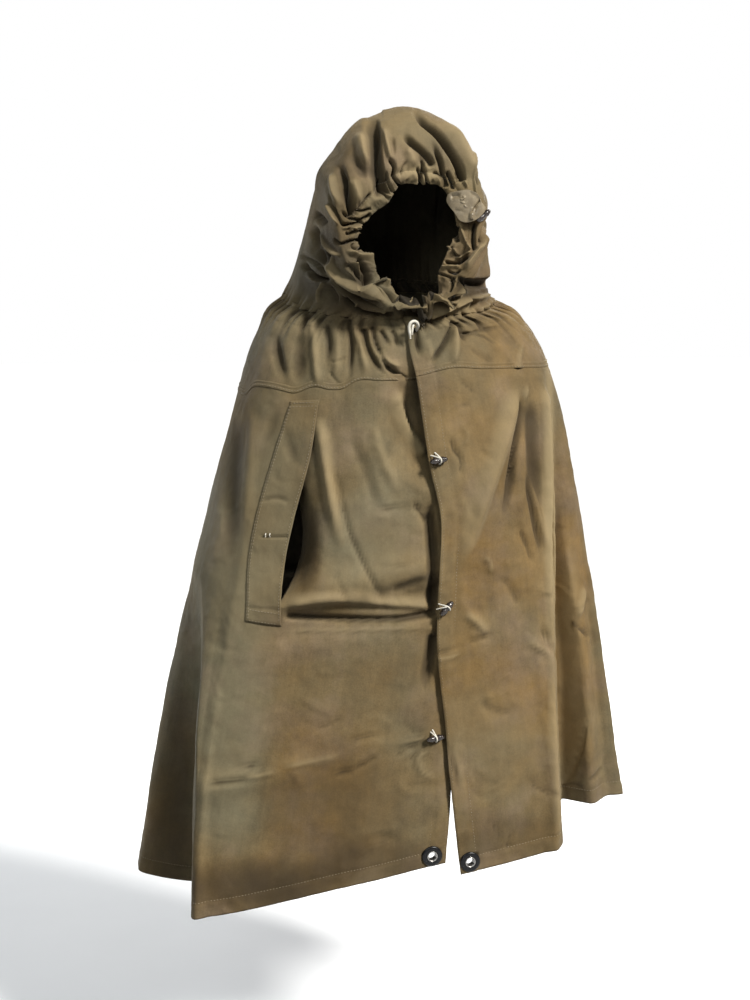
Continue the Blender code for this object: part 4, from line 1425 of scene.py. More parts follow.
# Creases that show, by pixels of the photograph: (path, left, right, height, crisp, fade in, fade out)
CREASES: dict[Panel, tuple[Crease, ...]] = {
    Panel.HOOD: creases(
        (((375, 116), (377, 135), (378, 150), (380, 166), (384, 182),
         (388, 196)), 8, 24, -26, 0.5, 0.2, 0.02),
        (((383, 126), (387, 146), (392, 164)), 12, 6, 7, 0.6),
        (((349, 148), (354, 157), (361, 168), (370, 182)), 18, 18, -9, 0.2, 0.45, 0.35),
        (((359, 130), (365, 150), (369, 172)), 20, 18, 8, 0.1),
        (((337, 164), (342, 178), (345, 192), (349, 205), (353, 217)), 12, 8, -24, 0.7, 0.3, 0.04),
        (((352, 178), (357, 194), (360, 206)), 12, 12, 7, 0.2),
        (((333, 172), (335, 192), (341, 208)), 9, 10, 8, 0.3),
        (((400, 133), (410, 141), (421, 150), (429, 159), (434, 167)), 8, 10, -13, 0.5, 0.3, 0.1),
        (((430, 139), (437, 152), (441, 163), (443, 175), (446, 188)), 6, 8, -14, 0.6, 0.4, 0.02),
        (((420, 152), (423, 164), (422, 175), (420, 186)), 5, 6, -12, 0.7, 0.3, 0.02),
        (((404, 148), (411, 157), (414, 168)), 12, 12, 6, 0.1),
        (((392, 136), (393, 148), (393, 158)), 6, 7, -5, 0.3),
        (((412, 107), (424, 121), (436, 131), (446, 143), (454, 155), (460, 167),
         (464, 181)), 6, 11, -26, 0.7, 0.3, 0.02),
        (((432, 117), (446, 127), (459, 143), (468, 161), (473, 180)), 14, 14, 12, 0.2, 0.45, 0.2),
        (((470, 150), (471, 162), (473, 175), (475, 188), (477, 200)), 3, 3, 5, 0.6, 0.2, 0.1),
        (((473, 158), (476, 172), (479, 186)), 5, 3, -8, 0.5, 0.2, 0.2),
        # Pinches over the brow
        (((388, 158), (394, 166), (394, 176), (400, 187)), 4, 5, -13, 0.8, 0.15, 0.02),
        (((407, 161), (402, 168), (400, 178)), 3, 3, -5, 0.8),
        (((417, 166), (419, 176), (420, 187)), 4, 3, -12, 0.8, 0.3, 0.02),
        (((424, 168), (426, 178), (428, 187)), 4, 4, -10, 0.8, 0.3, 0.02),
        (((432, 173), (437, 174), (442, 180)), 3, 3, -6, 0.8, 0.3, 0.2),
        (((447, 170), (450, 179), (452, 190)), 5, 5, -15, 0.7, 0.2, 0.02),
        (((455, 171), (457, 177), (456, 183)), 3, 3, -8, 0.8, 0.2, 0.2),
        (((452, 184), (457, 180), (462, 179), (466, 184), (468, 190)), 3, 3, 5, 0.6, 0.2, 0.2),
        (((382, 176), (384, 188), (388, 199)), 4, 4, -13, 0.8, 0.2, 0.02),
        (((385, 180), (386, 190), (390, 197)), 2, 2, 5, 0.5, 0.2, 0.02),
        (((386, 170), (389, 182), (393, 193)), 3, 3, -10, 0.8, 0.2, 0.02),
        # Pinches at the wearer's right of the face
        (((372, 192), (363, 203), (358, 211), (357, 217)), 4, 3, -10, 0.8, 0.2, 0.2),
        (((357, 211), (364, 211), (371, 208)), 3, 4, -10, 0.8, 0.2, 0.02),
        (((340, 211), (347, 216), (354, 219), (362, 220), (371, 214)), 4, 4, -13, 0.8, 0.2, 0.02),
        (((327, 203), (333, 215), (339, 225)), 3, 5, 7, 0.6, 0.2, 0.2),
        (((331, 204), (337, 217), (342, 224), (352, 225), (364, 223)), 5, 3, -16, 0.8, 0.15, 0.02),
        (((341, 229), (350, 227), (360, 227)), 3, 3, 5, 0.5, 0.2, 0.02),
        (((345, 233), (351, 234), (356, 231), (362, 232)), 3, 3, -11, 0.8, 0.1, 0.02),
        (((350, 231), (353, 228), (358, 231), (360, 236)), 2, 2, 6, 0.5, 0.1, 0.02),
        (((333, 239), (340, 244), (350, 241), (361, 240)), 4, 4, -15, 0.8, 0.1, 0.02),
        (((350, 244), (356, 241), (361, 245)), 2, 3, 6, 0.5, 0.1, 0.02),
        (((352, 246), (357, 249), (365, 247)), 3, 3, -8, 0.8, 0.1, 0.02),
        (((345, 250), (358, 256), (370, 259), (379, 263)), 7, 6, 10, 0.3, 0.2, 0.1),
        # Rolled cowl at the wearer's right, dark behind its edge
        (((312, 224), (320, 240), (327, 253), (333, 267)), 6, 14, -22, 0.5, 0.2, 0.2),
        (((316, 230), (325, 243), (333, 251), (342, 257)), 5, 4, 9, 0.6, 0.2, 0.2),
        (((313, 211), (320, 217), (326, 224)), 6, 12, -12, 0.3, 0.2, 0.2),
        (((332, 254), (333, 265), (341, 275), (355, 284), (370, 291), (385, 298),
         (392, 303)), 5, 22, 14, 0.6, 0.1, 0.25),
        (((337, 275), (350, 287), (366, 297), (384, 305)), 5, 9, -15, 0.5, 0.2, 0.2),
        (((344, 264), (354, 272), (363, 284), (376, 290), (388, 296), (396, 303)), 9, 5, -24, 0.5, 0.15, 0.1),
        (((355, 262), (362, 269), (367, 279), (371, 284)), 10, 4, -24, 0.5, 0.1, 0.1),
        (((352, 261), (358, 272), (364, 283), (371, 285), (380, 284), (390, 287)), 3, 3, 12, 0.6, 0.1, 0.05),
        (((379, 262), (377, 269), (381, 276), (384, 283)), 3, 4, -10, 0.8, 0.1, 0.1),
        (((384, 276), (391, 281), (397, 281), (400, 291)), 3, 4, -11, 0.8, 0.1, 0.1),
        (((341, 295), (352, 306), (362, 313), (378, 316), (395, 315)), 6, 9, -26, 0.5, 0.15, 0.1),
        (((390, 303), (386, 309), (382, 316)), 4, 6, 3, 0.5, 0.1, 0.1),
        (((393, 306), (402, 312), (414, 315), (424, 311)), 12, 10, -22, 0.3, 0.2, 0.2),
        (((303, 261), (311, 272), (320, 278), (332, 279)), 4, 10, -16, 0.5, 0.15, 0.3),
        (((305, 268), (312, 279), (323, 283), (319, 293), (319, 304)), 4, 4, 8, 0.6, 0.1, 0.1),
        (((300, 255), (312, 261), (322, 269), (331, 273)), 6, 4, -8, 0.6, 0.1, 0.3),
        (((344, 294), (348, 303), (353, 310), (358, 302)), 3, 3, 6, 0.6, 0.1, 0.1),
        (((326, 284), (334, 295), (338, 306)), 8, 8, -10, 0.4),
        # Chin
        (((401, 295), (406, 303), (410, 297), (416, 305)), 3, 3, -10, 0.8, 0.05, 0.05),
        (((405, 295), (410, 303), (415, 297), (420, 306)), 2, 2, 6, 0.5, 0.05, 0.05),
        (((419, 297), (424, 306), (432, 303), (428, 312)), 3, 3, -12, 0.8, 0.05, 0.05),
        (((416, 301), (430, 305), (442, 305), (454, 303)), 6, 6, -22, 0.5, 0.1, 0.1),
        # Ruffles at the wearer's left of the face
        (((457, 226), (456, 234), (458, 243)), 5, 6, -16, 0.6, 0.1, 0.1),
        (((461, 222), (464, 234), (468, 245), (472, 251)), 3, 4, 8, 0.6, 0.1, 0.1),
        (((475, 220), (472, 236), (474, 252)), 7, 4, -17, 0.5, 0.15, 0.15),
        (((448, 248), (455, 251), (458, 258), (464, 255), (472, 251)), 3, 3, 8, 0.5, 0.05, 0.1),
        (((451, 247), (455, 254), (460, 257)), 3, 3, -12, 0.8, 0.05, 0.1),
        (((445, 262), (455, 263), (463, 260), (469, 256)), 4, 4, -17, 0.7, 0.05, 0.1),
        (((442, 268), (452, 267), (461, 266)), 4, 5, 7, 0.4, 0.05, 0.2),
        (((447, 271), (455, 273), (461, 270)), 3, 3, -10, 0.8, 0.1, 0.1),
        (((437, 273), (446, 276), (455, 279)), 3, 3, -9, 0.8, 0.05, 0.1),
        (((449, 278), (452, 284), (449, 292)), 4, 4, -13, 0.7, 0.1, 0.05),
        (((455, 279), (463, 286), (458, 294), (451, 301), (443, 300)), 5, 4, 10, 0.5, 0.1, 0.1),
        (((426, 297), (438, 299), (450, 301)), 4, 4, 8, 0.5, 0.1, 0.1),
        # Cowl at the wearer's left
        (((490, 235), (480, 247), (473, 258), (464, 272)), 8, 8, 10, 0.6, 0.45, 0.2),
        (((456, 279), (468, 282), (480, 282), (494, 280)), 7, 14, -26, 0.4, 0.1, 0.02),
        (((424, 315), (444, 308), (467, 300), (488, 296)), 8, 10, 10, 0.3, 0.1, 0.05),
        (((492, 291), (489, 303), (480, 311)), 4, 5, 5, 0.6, 0.1, 0.1),
        (((468, 296), (474, 304), (470, 312)), 6, 6, -7, 0.4),
        (((416, 319), (448, 317), (480, 314)), 3, 6, -16, 0.6, 0.1, 0.1),
    ),
    Panel.YOKE: creases(
        (((274, 330), (279, 360), (285, 386)), 12, 16, -9, 0.4, 0.4, 0.5),
        (((311, 303), (305, 318), (299, 336)), 7, 9, -11, 0.7, 0.1, 0.5),
        (((301, 330), (298, 360), (298, 388)), 20, 16, -6, 0.1, 0.3, 0.4),
        (((314, 316), (315, 350), (318, 388)), 12, 12, 6, 0.2, 0.2, 0.2),
        (((328, 319), (323, 332), (316, 350)), 4, 4, 3, 0.6),
        (((326, 322), (328, 345), (325, 372)), 9, 9, -8, 0.4, 0.15, 0.5),
        (((338, 322), (338, 350), (336, 384)), 12, 12, 4, 0.2),
        (((349, 318), (351, 338), (351, 358), (348, 384)), 7, 8, -12, 0.8, 0.05, 0.5),
        (((358, 330), (362, 352), (368, 380)), 12, 10, 6, 0.2, 0.2, 0.4),
        (((364, 328), (367, 346), (376, 364), (388, 378)), 8, 9, -13, 0.8, 0.05, 0.4),
        (((372, 326), (375, 342), (384, 361), (392, 374)), 6, 6, -8, 0.8, 0.05, 0.4),
        (((380, 330), (385, 338), (391, 348)), 6, 6, -6, 0.7, 0.1, 0.5),
        (((392, 330), (396, 338), (398, 350)), 5, 6, -5, 0.6, 0.1, 0.5),
        (((384, 364), (394, 372), (406, 380)), 6, 8, -12, 0.8, 0.3, 0.1),
        (((376, 352), (390, 362), (404, 368)), 10, 8, 6, 0.3),
        (((328, 362), (338, 361), (350, 356)), 4, 4, -2, 0.8),
        (((328, 370), (335, 380), (343, 388)), 4, 5, -3, 0.8),
        # Wearer's left
        (((416, 328), (417, 342), (420, 360)), 8, 6, -12, 0.6, 0.05, 0.5),
        (((425, 336), (430, 352), (432, 366)), 10, 8, 4, 0.2),
        (((453, 321), (448, 338), (437, 355), (429, 366)), 8, 8, -11, 0.7, 0.05, 0.3),
        (((455, 324), (456, 344), (454, 366)), 10, 12, 7, 0.3, 0.1, 0.3),
        (((457, 322), (460, 332), (467, 344)), 8, 6, -11, 0.7, 0.05, 0.4),
        (((462, 335), (480, 331), (510, 325)), 5, 6, -4, 0.8, 0.1, 0.5),
        (((461, 333), (484, 337), (501, 349)), 5, 5, -4, 0.8, 0.1, 0.4),
        (((468, 345), (482, 357), (498, 366)), 10, 10, -3, 0.3),
        (((476, 318), (480, 326), (484, 332)), 6, 5, -6, 0.6, 0.1, 0.4),
        (((494, 306), (503, 318), (518, 330)), 6, 6, -2, 0.5),
        (((522, 340), (519, 356), (518, 370)), 10, 10, 4, 0.3, 0.3, 0.1),
    ),
    Panel.RIGHT: creases(
        (((238, 404), (233, 470), (230, 540), (228, 590)), 24, 26, -7, 0.1, 0.2, 0.5),
        (((254, 410), (250, 470), (246, 540)), 16, 16, 3, 0.2, 0.2, 0.5),
        (((276, 404), (272, 424), (264, 450)), 16, 16, -3, 0.1, 0.4, 0.4),
        # Round the arm slit
        (((318, 410), (326, 470), (337, 530), (347, 560)), 20, 16, 10, 0.2, 0.2, 0.4),
        (((331, 452), (345, 520), (360, 556), (388, 612)), 6, 8, -5, 0.8, 0.2, 0.2),
        (((334, 572), (340, 588), (350, 606)), 5, 5, -3, 0.7),
        # Sagging fold over the waist
        (((284, 604), (340, 600), (400, 604), (436, 606)), 20, 12, 8, 0.2, 0.1, 0.1),
        (((284, 616), (345, 620), (400, 620), (438, 613)), 12, 8, -12, 0.7, 0.05, 0.02),
        (((290, 630), (350, 629), (438, 627)), 4, 5, 3, 0.6, 0.1, 0.1),
        # Front edge, which hangs away from the one over it
        (((402, 388), (401, 404), (409, 426), (428, 454)), 4, 26, 10, 0.4, 0.2, 0.1),
        (((430, 504), (434, 540), (435, 580), (434, 612)), 10, 18, -16, 0.5, 0.15, 0.1),
        (((366, 509), (400, 509), (437, 505)), 6, 6, -5, 0.7, 0.4, 0.05),
        (((412, 498), (420, 512), (430, 524)), 6, 7, -6, 0.7, 0.3, 0.2),
        (((372, 568), (400, 566), (424, 560)), 5, 6, -3, 0.6),
        (((388, 592), (412, 584), (434, 576)), 12, 10, -5, 0.4),
        (((437, 632), (431, 664), (424, 700)), 10, 22, -12, 0.3, 0.1, 0.5),
        (((348, 430), (366, 474), (380, 520)), 16, 16, -4, 0.2),
        (((372, 420), (384, 460), (404, 500)), 14, 14, 4, 0.2),
        # Above the hem
        (((204, 785), (226, 783), (250, 780)), 6, 6, -6, 0.8, 0.3, 0.3),
        (((230, 768), (248, 767), (268, 771)), 6, 5, -6, 0.8, 0.3, 0.3),
        (((240, 776), (256, 775), (280, 772)), 6, 5, 4, 0.5),
        (((276, 764), (308, 762), (346, 754)), 7, 7, 4, 0.4),
        (((328, 778), (354, 769), (386, 752)), 5, 7, -6, 0.8, 0.2, 0.3),
        (((346, 744), (366, 738), (392, 736)), 6, 6, -4, 0.7),
        (((308, 665), (316, 673), (323, 684)), 5, 5, -2, 0.7),
        (((278, 706), (290, 708), (300, 712)), 5, 5, -2, 0.7),
        (((312, 730), (330, 724), (346, 716)), 8, 8, -3, 0.5),
        # Wrinkles drawn to the bottom toggle
        (((426, 741), (410, 748), (388, 760)), 5, 5, -6, 0.8, 0.05, 0.5),
        (((428, 745), (414, 756), (402, 768)), 5, 5, -5, 0.8, 0.05, 0.5),
        (((424, 737), (406, 740), (384, 744)), 5, 5, 4, 0.6, 0.05, 0.5),
        (((430, 746), (418, 758), (424, 772), (440, 778)), 8, 8, 4, 0.3),
        (((420, 735), (408, 728), (400, 718)), 5, 5, -3, 0.7, 0.05, 0.5),
        (((400, 790), (420, 786), (440, 788)), 5, 6, -3, 0.6),
        (((352, 848), (380, 838), (410, 846)), 12, 10, -3, 0.3),
    ),
    Panel.LEFT: creases(
        (((518, 384), (508, 425), (496, 465), (482, 505), (468, 545),
         (460, 574)), 17, 28, 12, 0.3, 0.15, 0.3),
        (((523, 392), (519, 428), (514, 462), (508, 495), (499, 532)), 12, 10, -15, 0.6, 0.15, 0.5),
        (((527, 382), (522, 412), (519, 445), (514, 490)), 8, 7, 6, 0.5, 0.1, 0.3),
        (((533, 394), (533, 430), (535, 470), (541, 524)), 18, 18, -10, 0.2, 0.2, 0.4),
        (((527, 470), (533, 510), (543, 562)), 9, 8, -8, 0.6),
        (((532, 474), (538, 512), (548, 556)), 10, 6, 5, 0.4),
        (((519, 526), (528, 548), (534, 570)), 8, 8, -6, 0.6),
        (((540, 624), (546, 640), (553, 662)), 8, 7, -6, 0.7),
        (((526, 640), (540, 648), (553, 657)), 8, 8, 6, 0.5),
        (((458, 378), (468, 387), (477, 395)), 6, 6, -2.5, 0.7),
        (((452, 410), (468, 404), (484, 396)), 6, 6, -2.5, 0.7),
        (((459, 424), (468, 434), (464, 447)), 7, 6, 2.8, 0.5),
        (((476, 448), (486, 455), (496, 463)), 6, 6, -2.2, 0.7),
        (((459, 498), (467, 508), (461, 522)), 7, 6, 2.8, 0.5),
        (((482, 556), (490, 562), (491, 576)), 8, 8, 4, 0.4),
        (((500, 576), (512, 590), (520, 612)), 12, 12, -4, 0.4),
        (((543, 380), (547, 420), (549, 480), (550, 560), (551, 640), (553, 720), (557, 800),
         (560, 846)), 7, 13, 9, 0.6, 0.05, 0.1),
        # Along the front edge
        (((449, 434), (454, 450), (461, 461), (459, 480)), 6, 6, -6, 0.8, 0.2, 0.3),
        (((440, 500), (441, 540), (440, 600)), 8, 8, 3, 0.3),
        (((436, 654), (448, 652), (462, 646)), 5, 6, -5, 0.8, 0.05, 0.4),
        (((437, 660), (450, 657), (464, 652)), 6, 6, 4, 0.4, 0.05, 0.4),
        (((464, 612), (478, 624), (490, 636)), 14, 10, 5, 0.3),
        (((466, 642), (480, 640), (494, 632)), 8, 8, -5, 0.5),
        (((452, 744), (458, 766), (464, 792)), 5, 5, 4, 0.6),
        (((447, 738), (452, 764), (457, 788)), 6, 5, -4, 0.6),
        # Lower panel
        (((524, 781), (542, 790), (561, 797)), 7, 8, -3, 0.7, 0.4, 0.2),
        (((490, 820), (496, 830), (502, 842)), 5, 5, -4, 0.7),
        (((512, 830), (509, 842), (506, 854)), 5, 5, -4, 0.7),
        (((470, 786), (478, 796), (490, 800)), 8, 8, -3, 0.5),
        (((478, 700), (500, 712), (520, 708)), 14, 14, -3, 0.2),
        # Flutes at the side
        (((574, 622), (583, 630), (590, 637)), 7, 6, -8, 0.7, 0.1, 0.1),
        (((583, 585), (580, 604), (576, 622)), 10, 8, 6, 0.5),
        (((562, 786), (576, 783), (588, 788)), 6, 6, -4, 0.7, 0.1, 0.1),
        (((590, 782), (598, 774), (606, 762)), 6, 6, -5, 0.6),
        (((562, 788), (575, 752), (588, 704)), 6, 16, 9, 0.5),
    ),
    Panel.FLAP: creases(
        (((284, 425), (290, 448), (299, 472)), 15, 16, -2, 0.1),
        (((258, 502), (275, 498), (293, 503)), 6, 8, -2, 0.5),
        (((257, 536), (272, 537), (288, 537)), 4, 4, -2.5, 0.8, 0.2, 0.02),
        (((247, 608), (264, 609), (284, 611)), 4, 4, -1.5, 0.7, 0.05, 0.05),
        (((286, 404), (298, 405), (310, 405)), 4, 4, -1.5, 0.7, 0.05, 0.05),
    ),
}

# Creases on the hidden side of the cape: paths are turn and drop
BACK_CREASES: tuple[Crease, ...] = creases(
    (((118, 0.05), (122, 0.16), (126, 0.34)), 16, 16, -9, 0.4),
    (((134, 0.03), (131, 0.12), (133, 0.30)), 14, 12, 7, 0.3),
    (((150, 0.02), (155, 0.13), (152, 0.26)), 12, 14, -11, 0.5),
    (((166, 0.04), (163, 0.15), (168, 0.38)), 16, 14, 8, 0.3),
    (((182, 0.02), (186, 0.14), (183, 0.30)), 12, 12, -10, 0.5),
    (((198, 0.03), (195, 0.10), (199, 0.24)), 12, 12, 6, 0.3),
    (((214, 0.02), (218, 0.15), (214, 0.36)), 14, 12, -11, 0.5),
    (((232, 0.03), (229, 0.11), (233, 0.22)), 12, 12, 6, 0.3),
    (((246, 0.04), (250, 0.16), (247, 0.32)), 14, 14, -9, 0.4),
    (((262, 0.05), (266, 0.14), (264, 0.27)), 14, 14, 6, 0.3),
    (((140, 0.46), (162, 0.49), (186, 0.47)), 16, 14, -6, 0.5),
    (((196, 0.52), (220, 0.50), (243, 0.53)), 14, 14, -5, 0.5),
    (((150, 0.71), (168, 0.73), (190, 0.70)), 12, 12, -4, 0.6),
    (((205, 0.76), (222, 0.74), (246, 0.77)), 12, 10, 4, 0.5),
    (((172, 0.60), (180, 0.66), (178, 0.74)), 12, 12, -4, 0.5),
    (((128, 0.62), (136, 0.70), (132, 0.80)), 14, 12, 5, 0.4),
    (((228, 0.84), (236, 0.88), (250, 0.87)), 10, 10, -4, 0.6),
)

# Creases on the hidden side of the hood: paths are around and reach
NAPE_CREASES: tuple[Crease, ...] = creases(
    (((-70, 0.44), (-58, 0.62), (-64, 0.90)), 14, 14, -10, 0.4),
    (((-38, 0.52), (-34, 0.66), (-38, 0.88)), 14, 16, 7, 0.3, 0.4, 0.3),
    (((-12, 0.46), (-6, 0.66), (-10, 0.92)), 14, 14, -9, 0.5),
    (((10, 0.42), (14, 0.60), (8, 0.84)), 14, 14, 6, 0.3),
    (((36, 0.48), (44, 0.70), (40, 0.94)), 14, 12, -10, 0.5),
    (((66, 0.44), (60, 0.64), (66, 0.86)), 14, 14, -7, 0.4),
    (((-56, 0.72), (-20, 0.76), (18, 0.74)), 12, 14, -6, 0.5),
    (((22, 0.80), (44, 0.83), (70, 0.80)), 12, 12, 5, 0.4),
)

# Soft patches of colour in the photograph, real stains with painted shade and painted highlights among them:
# (x, y, wide, high, warm, shade)
STAINS_AND_PAINTED_LIGHT: tuple[StainAndPaintedLight, ...] = rows(
    StainAndPaintedLight,
    # Painted shade: the far left side (164, 780), the arm slit (308, 552) and the cowl's folds at (326, 244),
    # (340, 276), (316, 284), (352, 304), (472, 286) and (475, 290); painted highlight along the fold edge
    # (549, 480); painted light on the arm side (224, 560), the recess (570, 680), the hood's top (400, 128),
    # the brow band (420, 174) and the chin ridge (455, 309)
    (232, 735, 38, 150, -1.00, 0.28), (224, 560, 32, 70, -0.70, 0.36), (350, 450, 60, 80, -0.30, 0.04),
    (372, 545, 56, 56, -0.55, 0.26), (345, 700, 74, 66, 0.35, -0.05), (330, 806, 76, 60, 0.80, -0.52),
    (296, 842, 34, 34, 0.30, 0.10), (262, 886, 84, 28, 0.70, -0.98), (385, 862, 70, 22, 0.60, -0.66),
    (414, 700, 24, 60, -0.60, -0.20), (490, 600, 78, 270, 0.62, 0.02), (482, 420, 50, 46, 0.15, 0.10),
    (500, 540, 40, 60, 0.25, -0.04), (506, 622, 30, 30, -0.55, 0.0), (500, 732, 52, 50, -0.10, 0.12),
    (510, 838, 64, 22, 0.30, -0.50), (592, 620, 44, 180, 0.80, 0.06), (570, 680, 12, 120, 0.50, 0.55),
    (300, 350, 44, 36, -0.30, -0.08), (432, 350, 30, 28, -0.35, -0.12), (500, 345, 54, 30, 0.45, 0.0),
    (400, 128, 46, 28, 0.10, 0.30), (334, 180, 24, 60, 0.10, -0.55), (468, 158, 18, 50, 0.0, 0.30),
    (340, 276, 56, 40, -0.40, -0.66), (472, 286, 36, 20, 0.0, -0.40), (164, 780, 30, 150, 0.20, -1.10),
    (272, 500, 26, 110, -0.20, 0.36), (264, 590, 22, 40, -0.60, 0.25), (258, 360, 22, 40, 0.0, 0.05),
    (308, 552, 12, 44, 0.70, -0.90), (549, 480, 6, 130, 0.10, 1.00), (326, 244, 9, 22, 0.10, -0.60),
    (352, 304, 26, 10, 0.10, -0.40), (475, 290, 17, 8, 0.20, -1.30), (420, 174, 24, 10, 0.0, 0.90),
    (455, 309, 26, 6, 0.10, 0.50), (316, 284, 18, 16, 0.0, -0.35), (363, 272, 9, 13, 0.0, -0.90),
    (380, 190, 14, 10, 0.0, 0.40),
)


@dataclass(frozen=True)
class Drape:
    """What every stretch of cloth shares: the camera that its creases are read through, and small ripples."""

    camera: PhotoCamera
    swell: float = 0.0022
    swell_size: float = 0.085
    swell_seed: float = 11.3
    wrinkle: float = 0.0007
    wrinkle_size: float = 0.021
    wrinkle_seed: float = 3.7
    crease_depth: float = 1.2

    def crease(self, panel: Panel, base: Array, normal: Array) -> Array:
        """Relief of the creases that show, where the cloth faces the camera.

        Args:
            panel: The stretch of cloth.
            base: Its points before the creases.
            normal: The way out of it.

        Returns:
            Heights in metres.
        """
        place, metres = self.camera.pixels(base)
        relief = crease_relief(CREASES[panel], place, metres)
        return self.crease_depth * relief * self.camera.sees(base, normal)

    def hidden(self, table: Sequence[Crease], base: Array, normal: Array, place: Array,
               stretch: tuple[float, float]) -> Array:
        """Relief of creases where the cloth faces away from the camera.

        Args:
            table: The creases.
            base: The cloth's points before the creases.
            normal: The way out of it.
            place: Where its points lie on the creases' map, in metres.
            stretch: What brings the creases' paths to metres.

        Returns:
            Heights in metres.
        """
        return (1.0 - self.camera.sees(base, normal)) * crease_relief(table, place, 1.0, stretch)

    def small(self, base: Array) -> Array:
        """Relief of ripples too small to place one by one."""
        fine = np.abs(ripple(base, self.wrinkle_size, self.wrinkle_seed))
        return self.swell * ripple(base, self.swell_size, self.swell_seed) - self.wrinkle * (2.0 * fine - 0.5)

    def tone(self, points: Array, normal: Array, relief: Array, scale: float) -> Array:
        """The cloth's tone: shade, warmth and ridge, each about 0.5 in the middle; the shade carries stains
        and also painted light and painted shade, and low ridge values darken troughs with grime and painted
        shade.

        Args:
            points: Places on the cloth.
            normal: The way out of it.
            relief: How far its creases and gathers stand out.
            scale: The relief that counts as a full ridge.

        Returns:
            Tones along the last axis.
        """
        place, _ = self.camera.pixels(points)
        seen = self.camera.sees(points, normal)
        shade = np.zeros(seen.shape)
        warm = np.zeros(seen.shape)
        # Stains, and patches of painted shade and painted highlight, add to shade and warmth where the cloth
        # faces the camera
        for stain in STAINS_AND_PAINTED_LIGHT:
            aside, below = (place[..., 0] - stain.x) / stain.wide, (place[..., 1] - stain.y) / stain.high
            near = aside**2 + below**2
            soft = np.exp(-near * near) * seen
            shade = shade + stain.shade * soft
            warm = warm + stain.warm * soft
        return np.stack((0.5 + 0.5 * shade, 0.5 + 0.5 * warm, 0.5 + 0.5 * np.tanh(relief / scale)), axis=-1)


